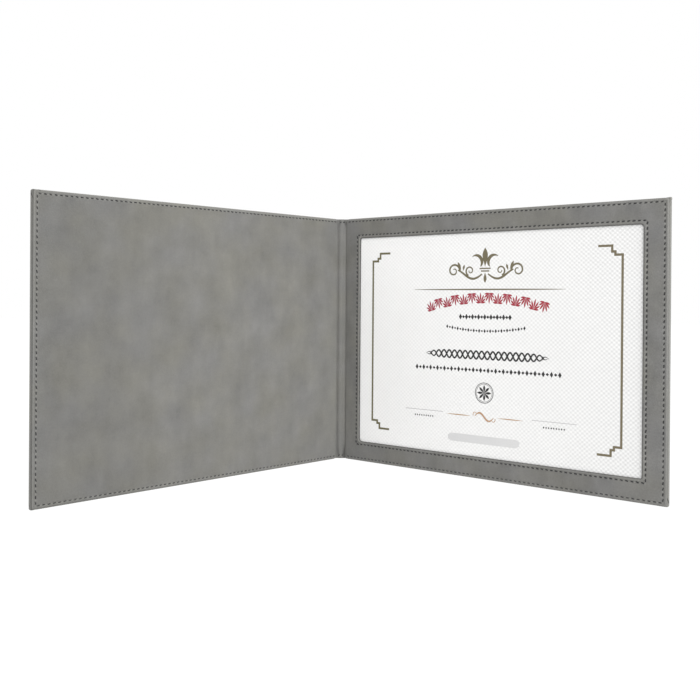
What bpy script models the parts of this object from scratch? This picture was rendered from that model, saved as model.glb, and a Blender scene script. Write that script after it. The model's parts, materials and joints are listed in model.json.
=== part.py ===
"""A two-panel leatherette certificate holder, standing open like a book on its lower edges.

The rear panel lies along X with its inner face towards -Y. It carries a stitched frame with a window
and a pocket that holds one landscape A4 certificate. The front panel is a plain lined cover. A narrow
spine joins them at two creases, and the lining is pressed into both.

Each panel is drawn in its own plan: u runs from the crease to the fore edge, v runs from the crease
axis towards the inner face, and z runs up. The spine uses the same plan, from the rear crease to the
front crease. Layers lie on each other with a thin air gap, because each is a solid of its own.
"""

from math import pi, radians, sqrt, tan

import bmesh
import bpy
from mathutils import Matrix, Vector

MM = 0.001

# Certificate sheet, A4 on its side
SHEET_WIDTH = 297.0 * MM
SHEET_HEIGHT = 210.0 * MM
SHEET_THICKNESS = 0.25 * MM
SHEET_CLEARANCE = 0.3 * MM

# Frame borders round the window, and how much of the sheet they hide
BORDER_SPINE = 20.0 * MM
BORDER_FORE = 20.6 * MM
BORDER_ENDS = 19.0 * MM
OVERLAP_SIDES = 7.8 * MM
OVERLAP_ENDS = 4.0 * MM
WINDOW_RADIUS = 3.0 * MM

# Thickness of each layer
SKIN = 0.8 * MM
BOARD = 1.5 * MM
FILLER = 0.7 * MM
LINING = 0.8 * MM
LINER = 0.3 * MM
BACKING = 0.4 * MM
FRAME = 0.7 * MM
STRIP = 0.8 * MM
FLAP = 0.45 * MM
AIR = 0.1 * MM

# Edges and corners
EDGE_RADIUS = 1.0 * MM
LINING_INSET = 0.9 * MM
BACKING_INSET = 0.2 * MM
SHEET_CORNER_RADIUS = 0.5 * MM
PLATE_CORNER_RADIUS = 1.2 * MM
PLATE_EDGE_RADIUS = 0.25 * MM
SHOULDER_RADIUS = 1.0 * MM
BAND_RADIUS = 0.6 * MM
GROOVE_RADIUS = 0.25 * MM
FLAP_RADIUS = 0.4 * MM
MITRE_WIDTH = 0.3 * MM
MITRE_STOP = 3.0 * MM
HEADCAP_LENGTH = 12.0 * MM
FLAP_RETREAT = 2.0 * MM

# Creases
CREASE_CLEARANCE = 0.3 * MM
BAND_CLEARANCE = 0.35 * MM
CLOSED_GAP = 2.9 * MM
REST_FOLD = radians(42.0)

# Seams
SEAM_INSET_FORE = 4.2 * MM
SEAM_INSET_ENDS = 3.1 * MM
SEAM_START = 1.0 * MM
SEAM_RADIUS = 1.0 * MM
WINDOW_SEAM_OFFSET = 3.2 * MM
THREAD_WIDTH = 0.6 * MM
THREAD_RISE = 0.25 * MM
LOW_THREAD_RISE = 0.1 * MM
CHANNEL_WIDTH = 1.0 * MM
CHANNEL_DEPTH = 0.3 * MM
CHANNEL_RUN_OUT = 0.3 * MM

# Facets
ARC_STEPS = 4
EDGE_STEPS = 3
NEAR = 0.01 * MM
SHARPEST_MITRE = 0.5

# Levels across a panel, from the crease axis inwards
HALF_LAMINATE = SKIN + AIR / 2
OUTER_FACE = -HALF_LAMINATE
SKIN_INSIDE = -AIR / 2
LAYER_START = AIR / 2
BOARD_FACE = LAYER_START + BOARD
TURN_BACK = BOARD_FACE + AIR
TURN_FACE = TURN_BACK + SKIN
LINING_BACK = TURN_FACE + AIR
LINING_FACE = LINING_BACK + LINING
BACKING_FACE = LINING_BACK + BACKING
FRAME_BACK = BACKING_FACE + AIR
FRAME_FACE = FRAME_BACK + FRAME
FLAP_FACE = TURN_BACK + FLAP
SHEET_BACK = LINING_BACK - AIR - SHEET_THICKNESS
BAND_TOP = LAYER_START + STRIP + AIR + LINING

# Places along a panel and along the spine, from the crease
LIP_START = HALF_LAMINATE + CREASE_CLEARANCE
DROP_FACE = BAND_TOP + BAND_CLEARANCE
DROP_BACK = DROP_FACE + LINING
BOARD_SETBACK = DROP_BACK + AIR
FRAME_SETBACK = BOARD_SETBACK + AIR
BAND_START = LIP_START
STRIP_SETBACK = BAND_START + LINING + AIR
SPINE_PITCH = LINING_FACE + FRAME_FACE + CLOSED_GAP

# Panel and window sizes
WINDOW_WIDTH = SHEET_WIDTH - 2 * OVERLAP_SIDES
WINDOW_HEIGHT = SHEET_HEIGHT - 2 * OVERLAP_ENDS
PANEL_WIDTH = BORDER_SPINE + WINDOW_WIDTH + BORDER_FORE
PANEL_HEIGHT = WINDOW_HEIGHT + 2 * BORDER_ENDS
SHEET_START = BORDER_SPINE - OVERLAP_SIDES
SHEET_END = SHEET_START + SHEET_WIDTH
SHEET_LOW = BORDER_ENDS - OVERLAP_ENDS
SHEET_HIGH = SHEET_LOW + SHEET_HEIGHT
POCKET_END = SHEET_END + SHEET_CLEARANCE
POCKET_LOW = SHEET_LOW - SHEET_CLEARANCE
POCKET_HIGH = SHEET_HIGH + SHEET_CLEARANCE
FLAP_END = SHEET_START - FLAP_RETREAT

REAR = 1
FRONT = -1


def clear_scene():
    """Remove what the file holds, so that the model starts from nothing."""
    for item in list(bpy.data.objects):
        bpy.data.objects.remove(item, do_unlink=True)


def make_material(name, colour, roughness):
    """A Principled material with a plain colour."""
    material = bpy.data.materials.new(name)
    material.use_nodes = True
    shader = material.node_tree.nodes["Principled BSDF"]
    shader.inputs["Base Color"].default_value = (*colour, 1.0)
    shader.inputs["Roughness"].default_value = roughness
    shader.inputs["Metallic"].default_value = 0.0
    material.diffuse_color = (*colour, 1.0)
    return material


def make_empty(name, parent=None, location=(0.0, 0.0, 0.0), turn=0.0):
    """An empty that stands for a body, with its origin on the body's joint axis."""
    empty = bpy.data.objects.new(name, None)
    empty.empty_display_size = 20.0 * MM
    empty.location = location
    empty.rotation_euler = (0.0, 0.0, turn)
    empty.parent = parent
    bpy.context.scene.collection.objects.link(empty)
    return empty


def make_object(name, shape, body, material):
    """Turn a bmesh into a named object that rides on its body's empty."""
    bmesh.ops.recalc_face_normals(shape, faces=shape.faces)
    mesh = bpy.data.meshes.new(name)
    shape.to_mesh(mesh)
    shape.free()
    mesh.materials.append(material)
    mesh.shade_smooth()
    mesh.set_sharp_from_angle(angle=radians(35.0))
    item = bpy.data.objects.new(name, mesh)
    item.parent = body
    bpy.context.scene.collection.objects.link(item)
    return item


def combine(target, tool, operation):
    """Cut a guide solid out of a piece, or join it on, and hide the guide."""
    modifier = target.modifiers.new(tool.name, "BOOLEAN")
    modifier.operation = operation
    modifier.object = tool
    tool.hide_render = True
    tool.display_type = "WIRE"
    return target


def at(side, u, v, z):
    """A plan position as a point in the body's own axes."""
    return Vector((side * u, -v, z))


def fillet(before, corner, after, radius):
    """The points of one corner: the corner itself, or an arc that rounds it."""
    if radius == 0.0:
        return [Vector(corner)]
    back = (Vector(before) - Vector(corner)).normalized()
    ahead = (Vector(after) - Vector(corner)).normalized()
    half = back.angle(ahead) / 2
    start = Vector(corner) + back * radius / tan(half)
    end = Vector(corner) + ahead * radius / tan(half)
    bisector = (back + ahead).normalized()
    reach = sqrt(radius**2 + (radius / tan(half)) ** 2)
    centre = Vector(corner) + bisector * reach
    first = (start - centre).normalized()
    last = (end - centre).normalized()
    return [centre + first.slerp(last, step / ARC_STEPS) * radius for step in range(ARC_STEPS + 1)]


def rounded_outline(corners):
    """A closed outline from ((x, y), radius) corners."""
    points = []
    for index, (corner, radius) in enumerate(corners):
        before = corners[index - 1][0]
        after = corners[(index + 1) % len(corners)][0]
        points += fillet(before, corner, after, radius)
    return points


def rounded_rectangle(low_u, high_u, low_z, high_z, radius):
    """A closed rectangle with four equal round corners, starting at its low corner."""
    corners = ((low_u, low_z), (high_u, low_z), (high_u, high_z), (low_u, high_z))
    return rounded_outline([(corner, radius) for corner in corners])


def rounded_route(corners, radius):
    """An open route whose inner corners are rounded."""
    points = [Vector(corners[0])]
    for before, corner, after in zip(corners, corners[1:], corners[2:]):
        points += fillet(before, corner, after, radius)
    return points + [Vector(corners[-1])]


def bead_arc(centre, start_angle, end_angle):
    """Points of the round bead that lies on a crease axis."""
    radius_line = Vector((HALF_LAMINATE, 0.0))
    points = []
    for step in range(ARC_STEPS + 1):
        angle = start_angle + (end_angle - start_angle) * step / ARC_STEPS
        arm = radius_line.copy()
        arm.rotate(Matrix.Rotation(angle, 2))
        points.append(Vector((centre, 0.0)) + arm)
    return points


def extrude_up(side, outline, low, high):
    """A (u, v) outline extruded up from one height to another."""
    shape = bmesh.new()
    rim = [shape.verts.new(at(side, u, v, low)) for u, v in outline]
    face = shape.faces.new(rim)
    moved = bmesh.ops.extrude_face_region(shape, geom=[face])["geom"]
    top = [part for part in moved if isinstance(part, bmesh.types.BMVert)]
    bmesh.ops.translate(shape, verts=top, vec=(0.0, 0.0, high - low))
    return shape


def extrude_inwards(side, outline, back, face_level):
    """A (u, z) outline extruded through the panel from one level to another."""
    shape = bmesh.new()
    rim = [shape.verts.new(at(side, u, back, z)) for u, z in outline]
    face = shape.faces.new(rim)
    moved = bmesh.ops.extrude_face_region(shape, geom=[face])["geom"]
    top = [part for part in moved if isinstance(part, bmesh.types.BMVert)]
    bmesh.ops.translate(shape, verts=top, vec=(0.0, back - face_level, 0.0))
    return shape


def block(side, u_span, v_span, z_span):
    """A plain box between three pairs of limits."""
    outline = [
        (u_span[0], v_span[0]),
        (u_span[1], v_span[0]),
        (u_span[1], v_span[1]),
        (u_span[0], v_span[1]),
    ]
    return extrude_up(side, outline, *z_span)


def level_of(point):
    """A point's level across the panel."""
    return -point.y


def soften(shape, edges, radius, steps):
    """Round the given edges."""
    bmesh.ops.bevel(shape, geom=edges, offset=radius, segments=steps, profile=0.5, affect="EDGES")


def ring_plate(side, loops):
    """A flat plate with an opening, skinned from loop to loop and back to the first.

    Each loop is an outline with its level, and all outlines have as many points.
    """
    shape = bmesh.new()
    rings = [[shape.verts.new(at(side, u, level, z)) for u, z in outline] for outline, level in loops]
    for here, there in zip(rings, rings[1:] + rings[:1]):
        for index in range(len(here)):
            after = (index + 1) % len(here)
            shape.faces.new((here[index], here[after], there[after], there[index]))
    return shape


def sweep(side, route, section, closed):
    """Carry a (across, up) section along a route of (u, v, z) points, mitred at each point."""
    points = [at(side, *point) for point in route]
    inwards = Vector((0.0, -1.0, 0.0))
    shape = bmesh.new()
    rings = []
    for index, point in enumerate(points):
        before = points[index - 1] if closed or index > 0 else point
        after = points[(index + 1) % len(points)] if closed or index < len(points) - 1 else point
        arriving = (point - before).normalized()
        leaving = (after - point).normalized()
        along = (arriving + leaving).normalized()
        across = along.cross(inwards).normalized()
        up = across.cross(along).normalized()
        spread = 1.0
        if arriving.length > 0.0 and leaving.length > 0.0:
            spread = 1.0 / max(along.dot(leaving), SHARPEST_MITRE)
        rings.append([shape.verts.new(point + across * a * spread + up * b) for a, b in section])
    sides = len(section)
    pairs = list(zip(rings, rings[1:]))
    if closed:
        pairs.append((rings[-1], rings[0]))
    for here, there in pairs:
        for index in range(sides):
            after = (index + 1) % sides
            shape.faces.new((here[index], here[after], there[after], there[index]))
    if not closed:
        shape.faces.new(rings[0])
        shape.faces.new(rings[-1])
    return shape


def thread_section(rise):
    """Cross-section of a thread that lies in its channel: flat below, crowned above."""
    half = THREAD_WIDTH / 2
    foot = AIR - CHANNEL_DEPTH
    return [(-half, foot), (half, foot), (half, 0.0), (half / 2, rise), (-half / 2, rise), (-half, 0.0)]


def channel_section():
    """Cross-section of the cutter for a stitch channel."""
    half = CHANNEL_WIDTH / 2
    return [(-half, -CHANNEL_DEPTH), (half, -CHANNEL_DEPTH), (half, CHANNEL_DEPTH), (-half, CHANNEL_DEPTH)]


def facing(route, section):
    """A section turned over where its route lies on the outer side of the crease axis."""
    if route[0].y < 0.0:
        return [(across, -up) for across, up in section]
    return section


def press_channel(name, body, side, carrier, route, material):
    """Press the channel of an open seam into the layer that carries it, a little past each end."""
    first = (route[0] - route[1]).normalized() * CHANNEL_RUN_OUT
    last = (route[-1] - route[-2]).normalized() * CHANNEL_RUN_OUT
    longer = [route[0] + first, *route[1:-1], route[-1] + last]
    cutter = sweep(side, longer, facing(route, channel_section()), False)
    combine(carrier, make_object(f"{name}_channel", cutter, body, material), "DIFFERENCE")


def lay_thread(name, body, side, route, rise, closed, material):
    """The thread of a seam, along its channel."""
    shape = sweep(side, route, facing(route, thread_section(rise)), closed)
    return make_object(name, shape, body, material)


def open_seam(name, body, side, carrier, route, rise, material):
    """A seam with two ends: its channel and its thread."""
    press_channel(name, body, side, carrier, route, material)
    return lay_thread(name, body, side, route, rise, False, material)


def lifted(route, face_level):
    """A (u, z) route laid on the face at one level."""
    return [Vector((u, face_level, z)) for u, z in route]


def edge_seam_route():
    """The seam along head, fore edge and tail of a panel."""
    start = BOARD_SETBACK + SEAM_START
    corners = [
        (start, SEAM_INSET_ENDS),
        (PANEL_WIDTH - SEAM_INSET_FORE, SEAM_INSET_ENDS),
        (PANEL_WIDTH - SEAM_INSET_FORE, PANEL_HEIGHT - SEAM_INSET_ENDS),
        (start, PANEL_HEIGHT - SEAM_INSET_ENDS),
    ]
    return rounded_route(corners, SEAM_RADIUS)


def cover_skin(name, body, side, material):
    """Outer leatherette of one panel: wrapped round the board, turned in, with mitred corners."""
    shell = block(
        side, (LIP_START, PANEL_WIDTH), (OUTER_FACE, TURN_FACE), (0.0, PANEL_HEIGHT)
    )
    fore = side * PANEL_WIDTH
    wrapped = [
        edge
        for edge in shell.edges
        if all(abs(vert.co.x - fore) < NEAR for vert in edge.verts)
        or (
            abs(edge.verts[0].co.z - edge.verts[1].co.z) < NEAR
            and abs(level_of(edge.verts[0].co - edge.verts[1].co)) < NEAR
        )
    ]
    soften(shell, wrapped, EDGE_RADIUS, EDGE_STEPS)
    skin = make_object(name, shell, body, material)

    inside = (SKIN, PANEL_HEIGHT - SKIN)
    beyond = TURN_FACE + SKIN
    board_space = block(side, (0.0, PANEL_WIDTH - SKIN), (SKIN_INSIDE, TURN_BACK), inside)
    pocket_space = block(
        side, (0.0, POCKET_END), (TURN_BACK - AIR, beyond), (POCKET_LOW, POCKET_HIGH)
    )
    drop_space = block(side, (0.0, BOARD_SETBACK), (BOARD_FACE, beyond), inside)
    lip_space = block(side, (0.0, DROP_FACE), (SKIN_INSIDE, beyond), (-SKIN, PANEL_HEIGHT + SKIN))
    spaces = (
        ("board_space", board_space),
        ("pocket_space", pocket_space),
        ("drop_space", drop_space),
        ("lip_space", lip_space),
    )
    for part, space in spaces:
        combine(skin, make_object(f"{name}_{part}", space, body, material), "DIFFERENCE")
    for end, inner, outwards in (("tail", POCKET_LOW, -1), ("head", POCKET_HIGH, 1)):
        slit = mitre_slit(side, inner, outwards)
        combine(skin, make_object(f"{name}_{end}_mitre", slit, body, material), "DIFFERENCE")
    return skin


def mitre_slit(side, inner, outwards):
    """The slanting gap between two turn-ins, from the pocket's corner towards the outer corner."""
    start = Vector((POCKET_END - AIR, inner - outwards * AIR))
    outer = PANEL_HEIGHT - MITRE_STOP if outwards > 0 else MITRE_STOP
    end = Vector((PANEL_WIDTH - MITRE_STOP, outer))
    across = (end - start).orthogonal().normalized() * MITRE_WIDTH / 2
    outline = [start - across, end - across, end + across, start + across]
    return extrude_inwards(side, outline, TURN_BACK - AIR, TURN_FACE + SKIN)


def board(name, body, side, material):
    """Stiff core of one panel."""
    edge = SKIN + AIR
    outline = [
        (BOARD_SETBACK, edge),
        (PANEL_WIDTH - edge, edge),
        (PANEL_WIDTH - edge, PANEL_HEIGHT - edge),
        (BOARD_SETBACK, PANEL_HEIGHT - edge),
    ]
    shape = extrude_inwards(side, outline, LAYER_START, BOARD_FACE)
    return make_object(name, shape, body, material)


def card(name, body, side, span, back, thickness, material):
    """A thin card that lies between the turn-ins."""
    outline = rounded_rectangle(
        *span, POCKET_LOW + AIR, POCKET_HIGH - AIR, SHEET_CORNER_RADIUS
    )
    shape = extrude_inwards(side, outline, back, back + thickness)
    return make_object(name, shape, body, material)


def front_lining(body, material):
    """Inside leatherette of the front panel, bent down the board's edge and into the crease."""
    fore = PANEL_WIDTH - LINING_INSET
    profile = rounded_outline(
        [
            ((LIP_START, HALF_LAMINATE), 0.0),
            ((DROP_FACE, HALF_LAMINATE), GROOVE_RADIUS),
            ((DROP_FACE, LINING_FACE), SHOULDER_RADIUS),
            ((fore, LINING_FACE), PLATE_EDGE_RADIUS),
            ((fore, LINING_BACK), 0.0),
            ((DROP_BACK, LINING_BACK), GROOVE_RADIUS),
            ((DROP_BACK, LAYER_START), 0.0),
            ((LIP_START, LAYER_START), 0.0),
        ]
    )
    shape = extrude_up(FRONT, profile, LINING_INSET, PANEL_HEIGHT - LINING_INSET)
    return make_object("front_lining", shape, body, material)


def rear_lining_flap(body, material):
    """End of the lining on the rear panel: down the board's edge, with a tongue into the pocket."""
    profile = rounded_outline(
        [
            ((LIP_START, HALF_LAMINATE), 0.0),
            ((DROP_FACE, HALF_LAMINATE), GROOVE_RADIUS),
            ((DROP_FACE, FLAP_FACE), FLAP_RADIUS),
            ((DROP_BACK, FLAP_FACE), 0.0),
            ((DROP_BACK, TURN_BACK), 0.0),
            ((DROP_BACK, LAYER_START), 0.0),
            ((LIP_START, LAYER_START), 0.0),
        ]
    )
    shape = extrude_up(REAR, profile, LINING_INSET, PANEL_HEIGHT - LINING_INSET)
    ends = (POCKET_LOW + AIR, POCKET_HIGH - AIR)
    for height in ends:
        everything = shape.verts[:] + shape.edges[:] + shape.faces[:]
        bmesh.ops.bisect_plane(shape, geom=everything, plane_co=(0, 0, height), plane_no=(0, 0, 1))
    root = [
        face
        for face in shape.faces
        if abs(face.calc_center_median().x - DROP_BACK) < NEAR
        and level_of(face.calc_center_median()) > TURN_BACK
        and ends[0] < face.calc_center_median().z < ends[1]
    ]
    moved = bmesh.ops.extrude_face_region(shape, geom=root)["geom"]
    bmesh.ops.delete(shape, geom=root, context="FACES_ONLY")
    tip = [part for part in moved if isinstance(part, bmesh.types.BMVert)]
    bmesh.ops.translate(shape, verts=tip, vec=(FLAP_END - DROP_BACK, 0.0, 0.0))
    return make_object("rear_lining_flap", shape, body, material)


def window_outline(growth, radius):
    """The window, or a rectangle that much larger on every side."""
    return rounded_rectangle(
        BORDER_SPINE - growth,
        PANEL_WIDTH - BORDER_FORE + growth,
        BORDER_ENDS - growth,
        PANEL_HEIGHT - BORDER_ENDS + growth,
        radius,
    )


def frame_outline(inset, radius):
    """Outer outline of the frame, or one that much smaller on every side."""
    return rounded_rectangle(
        FRAME_SETBACK + inset,
        PANEL_WIDTH - LINING_INSET - inset,
        LINING_INSET + inset,
        PANEL_HEIGHT - LINING_INSET - inset,
        radius,
    )


def window_frame(body, material):
    """Leatherette frame of the rear panel, with soft rims and the channel of the window seam."""
    rim = FRAME_FACE - PLATE_EDGE_RADIUS
    half = CHANNEL_WIDTH / 2
    channel_outer = window_outline(WINDOW_SEAM_OFFSET + half, WINDOW_RADIUS + half)
    channel_inner = window_outline(WINDOW_SEAM_OFFSET - half, WINDOW_RADIUS - half)
    loops = (
        (frame_outline(0.0, PLATE_CORNER_RADIUS), FRAME_BACK),
        (frame_outline(0.0, PLATE_CORNER_RADIUS), rim),
        (frame_outline(PLATE_EDGE_RADIUS, PLATE_CORNER_RADIUS - PLATE_EDGE_RADIUS), FRAME_FACE),
        (channel_outer, FRAME_FACE),
        (channel_outer, FRAME_FACE - CHANNEL_DEPTH),
        (channel_inner, FRAME_FACE - CHANNEL_DEPTH),
        (channel_inner, FRAME_FACE),
        (window_outline(PLATE_EDGE_RADIUS, WINDOW_RADIUS + PLATE_EDGE_RADIUS), FRAME_FACE),
        (window_outline(0.0, WINDOW_RADIUS), rim),
        (window_outline(0.0, WINDOW_RADIUS), FRAME_BACK),
    )
    return make_object("window_frame", ring_plate(REAR, loops), body, material)


def frame_backing(body, material):
    """Card ring that stiffens the frame from behind."""
    outer = frame_outline(BACKING_INSET, PLATE_CORNER_RADIUS)
    inner = window_outline(BACKING_INSET, WINDOW_RADIUS + BACKING_INSET)
    loops = ((outer, LINING_BACK), (outer, BACKING_FACE), (inner, BACKING_FACE), (inner, LINING_BACK))
    return make_object("frame_backing", ring_plate(REAR, loops), body, material)


def certificate(body, material):
    """The sheet in the pocket."""
    outline = rounded_rectangle(
        SHEET_START, SHEET_END, SHEET_LOW, SHEET_HIGH, SHEET_CORNER_RADIUS
    )
    shape = extrude_inwards(REAR, outline, SHEET_BACK, SHEET_BACK + SHEET_THICKNESS)
    return make_object("certificate", shape, body, material)


def spine_skin(body, material):
    """Outer leatherette of the spine, with a half bead on each crease and headcaps folded back."""
    profile = bead_arc(0.0, pi, 1.5 * pi) + bead_arc(SPINE_PITCH, 1.5 * pi, 2.0 * pi)
    profile = [Vector((u, min(v, SKIN_INSIDE))) for u, v in profile]
    shape = extrude_up(FRONT, profile, 0.0, PANEL_HEIGHT)
    skin = make_object("spine_skin", shape, body, material)
    width = (STRIP_SETBACK, SPINE_PITCH - STRIP_SETBACK)
    for end, foot, reach in (("tail", 0.0, 1.0), ("head", PANEL_HEIGHT, -1.0)):
        fold = headcap(width, foot, reach)
        combine(skin, make_object(f"spine_{end}_fold", fold, body, material), "UNION")
    return skin


def headcap(width, foot, reach):
    """The skin folded back on itself at one end of the spine."""
    low = SKIN_INSIDE - SKIN / 2
    high = LAYER_START + STRIP
    corners = [
        ((0.0, low), 0.0),
        ((SKIN, low), 0.0),
        ((SKIN, LAYER_START), 0.0),
        ((HEADCAP_LENGTH, LAYER_START), 0.0),
        ((HEADCAP_LENGTH, high), 0.0),
        ((0.0, high), FLAP_RADIUS),
    ]
    shape = bmesh.new()
    rim = [
        shape.verts.new(at(FRONT, width[0], v, foot + reach * z))
        for z, v in rounded_outline(corners)
    ]
    face = shape.faces.new(rim)
    moved = bmesh.ops.extrude_face_region(shape, geom=[face])["geom"]
    far = [part for part in moved if isinstance(part, bmesh.types.BMVert)]
    bmesh.ops.translate(shape, verts=far, vec=(FRONT * (width[1] - width[0]), 0.0, 0.0))
    return shape


def spine_strip(body, material):
    """Narrow board that makes the raised band."""
    low = HEADCAP_LENGTH + AIR
    shape = block(
        FRONT,
        (STRIP_SETBACK, SPINE_PITCH - STRIP_SETBACK),
        (LAYER_START, LAYER_START + STRIP),
        (low, PANEL_HEIGHT - low),
    )
    return make_object("spine_strip", shape, body, material)


def spine_lining(body, material):
    """Lining over the strip, pressed flat on to the skin at both creases."""
    far = SPINE_PITCH
    wall = STRIP_SETBACK - AIR
    outside = rounded_outline(
        [
            ((0.0, HALF_LAMINATE), 0.0),
            ((BAND_START, HALF_LAMINATE), GROOVE_RADIUS),
            ((BAND_START, BAND_TOP), BAND_RADIUS),
            ((far - BAND_START, BAND_TOP), BAND_RADIUS),
            ((far - BAND_START, HALF_LAMINATE), GROOVE_RADIUS),
            ((far, HALF_LAMINATE), 0.0),
        ]
    )
    inside = [
        (far - wall, LAYER_START),
        (far - wall, BAND_TOP - LINING),
        (wall, BAND_TOP - LINING),
        (wall, LAYER_START),
    ]
    profile = bead_arc(0.0, pi, 0.5 * pi)[:-1] + outside + bead_arc(far, 0.5 * pi, 0.0)[1:]
    profile = [Vector((u, max(v, LAYER_START))) for u, v in profile]
    profile += [Vector(point) for point in inside]
    shape = extrude_up(FRONT, profile, LINING_INSET, PANEL_HEIGHT - LINING_INSET)
    return make_object("spine_lining", shape, body, material)


def spine_seam_route(height, face_level):
    """The edge seam where it crosses the spine."""
    start = BAND_START + BAND_RADIUS + THREAD_WIDTH
    return lifted([(start, height), (SPINE_PITCH - start, height)], face_level)


def build_front_panel(body, materials):
    """The plain lined cover."""
    skin = cover_skin("front_cover_skin", body, FRONT, materials["cover"])
    board("front_board", body, FRONT, materials["board"])
    span = (FRAME_SETBACK, POCKET_END - AIR)
    card("front_filler", body, FRONT, span, TURN_BACK, FILLER, materials["card"])
    lining = front_lining(body, materials["lining"])
    route = edge_seam_route()
    thread = materials["thread"]
    inner = lifted(route, LINING_FACE)
    open_seam("front_edge_stitching", body, FRONT, lining, inner, THREAD_RISE, thread)
    outer = lifted(route, OUTER_FACE)
    open_seam("front_edge_bobbin_stitching", body, FRONT, skin, outer, LOW_THREAD_RISE, thread)


def build_spine(body, materials):
    """The spine between the two creases."""
    skin = spine_skin(body, materials["cover"])
    spine_strip(body, materials["board"])
    lining = spine_lining(body, materials["lining"])
    thread = materials["thread"]
    for end, height in (("tail", SEAM_INSET_ENDS), ("head", PANEL_HEIGHT - SEAM_INSET_ENDS)):
        inner = spine_seam_route(height, BAND_TOP)
        open_seam(f"spine_{end}_stitching", body, FRONT, lining, inner, LOW_THREAD_RISE, thread)
        outer = spine_seam_route(height, OUTER_FACE)
        open_seam(f"spine_{end}_bobbin_stitching", body, FRONT, skin, outer, LOW_THREAD_RISE, thread)


def build_rear_panel(body, materials):
    """The panel with the frame and the pocket."""
    skin = cover_skin("rear_cover_skin", body, REAR, materials["cover"])
    board("rear_board", body, REAR, materials["board"])
    span = (FLAP_END + AIR, POCKET_END - AIR)
    card("pocket_liner", body, REAR, span, TURN_BACK, LINER, materials["card"])
    rear_lining_flap(body, materials["lining"])
    frame_backing(body, materials["card"])
    frame = window_frame(body, materials["frame"])
    route = edge_seam_route()
    thread = materials["thread"]
    inner = lifted(route, FRAME_FACE)
    open_seam("rear_edge_stitching", body, REAR, frame, inner, THREAD_RISE, thread)
    outer = lifted(route, OUTER_FACE)
    open_seam("rear_edge_bobbin_stitching", body, REAR, skin, outer, LOW_THREAD_RISE, thread)
    ring = lifted(window_outline(WINDOW_SEAM_OFFSET, WINDOW_RADIUS), FRAME_FACE)
    lay_thread("window_stitching", body, REAR, ring, THREAD_RISE, True, thread)


def make_materials():
    """Colours of the cover, the cores, the paper and the thread."""
    return {
        "cover": make_material("grey_leatherette", (0.205, 0.200, 0.183), 0.72),
        "lining": make_material("grey_lining", (0.230, 0.225, 0.208), 0.74),
        "frame": make_material("grey_frame", (0.200, 0.195, 0.180), 0.72),
        "board": make_material("greyboard", (0.262, 0.238, 0.200), 0.92),
        "card": make_material("white_card", (0.760, 0.745, 0.700), 0.88),
        "paper": make_material("certificate_paper", (0.870, 0.860, 0.830), 0.80),
        "thread": make_material("black_thread", (0.022, 0.021, 0.020), 0.60),
    }


def centre_on_base(root):
    """Move the whole model so that its box stands centred on the origin."""
    bpy.context.view_layer.update()
    graph = bpy.context.evaluated_depsgraph_get()
    points = []
    for item in bpy.context.scene.objects:
        if item.type == "MESH" and not item.hide_render:
            evaluated = item.evaluated_get(graph)
            points += [evaluated.matrix_world @ vert.co for vert in evaluated.data.vertices]
    middle = [
        (min(point[axis] for point in points) + max(point[axis] for point in points)) / 2
        for axis in (0, 1)
    ]
    root.location = (-middle[0], -middle[1], -min(point.z for point in points))


def main():
    clear_scene()
    materials = make_materials()
    rear = make_empty("rear_panel")
    spine = make_empty("spine", rear, turn=REST_FOLD)
    front = make_empty("front_panel", spine, (FRONT * SPINE_PITCH, 0.0, 0.0), REST_FOLD)
    sheet = make_empty("certificate_slide", rear)
    build_rear_panel(rear, materials)
    build_spine(spine, materials)
    build_front_panel(front, materials)
    certificate(sheet, materials["paper"])
    centre_on_base(rear)


main()
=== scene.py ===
"""Looks of a two-panel leatherette certificate holder that stands open like a book.

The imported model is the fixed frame. Its soft layers are replaced here by fuller ones: the outer
leatherette wrapped and turned in over the boards, the lining pressed into both creases, the stitched
window frame, every stitch of the seams, and the print on the certificate. The boards and cards keep
their solids and get a finish.

Sizes are in millimetres. Each panel is drawn in its own plan: u runs from the crease to the fore edge,
v from the crease axis towards the inner face, and z up. A plan turns them into metres.
"""

import json
import logging
from collections.abc import Iterable, Mapping, Sequence
from dataclasses import dataclass, field
from enum import Enum
from math import cos, hypot, pi, radians, sin, tan
from typing import ClassVar, NamedTuple

import bpy
import numpy as np
from mathutils import Matrix, Vector
from numpy.typing import NDArray

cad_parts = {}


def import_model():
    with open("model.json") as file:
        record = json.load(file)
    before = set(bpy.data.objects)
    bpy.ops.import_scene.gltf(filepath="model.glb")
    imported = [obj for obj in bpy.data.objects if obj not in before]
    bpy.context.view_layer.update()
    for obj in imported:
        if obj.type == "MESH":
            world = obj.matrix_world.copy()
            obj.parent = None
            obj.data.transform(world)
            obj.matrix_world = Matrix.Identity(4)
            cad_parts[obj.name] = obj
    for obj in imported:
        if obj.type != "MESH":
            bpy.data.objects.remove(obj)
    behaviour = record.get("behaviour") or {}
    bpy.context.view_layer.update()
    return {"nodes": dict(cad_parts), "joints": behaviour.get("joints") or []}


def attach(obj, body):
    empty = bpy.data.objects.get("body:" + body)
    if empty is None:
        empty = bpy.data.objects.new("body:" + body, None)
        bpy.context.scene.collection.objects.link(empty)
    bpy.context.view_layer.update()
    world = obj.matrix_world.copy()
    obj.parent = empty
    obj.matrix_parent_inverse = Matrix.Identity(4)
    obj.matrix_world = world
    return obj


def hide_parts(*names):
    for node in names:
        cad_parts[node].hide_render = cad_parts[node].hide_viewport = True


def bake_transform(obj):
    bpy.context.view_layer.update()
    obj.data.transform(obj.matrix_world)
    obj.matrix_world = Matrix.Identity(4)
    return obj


Array = NDArray[np.float64]
Places = Array | float
Point = tuple[float, float]
Triple = tuple[float, float, float]
Material = bpy.types.Material
Object = bpy.types.Object
Socket = bpy.types.NodeSocket
log = logging.getLogger("certificate_holder")

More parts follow.
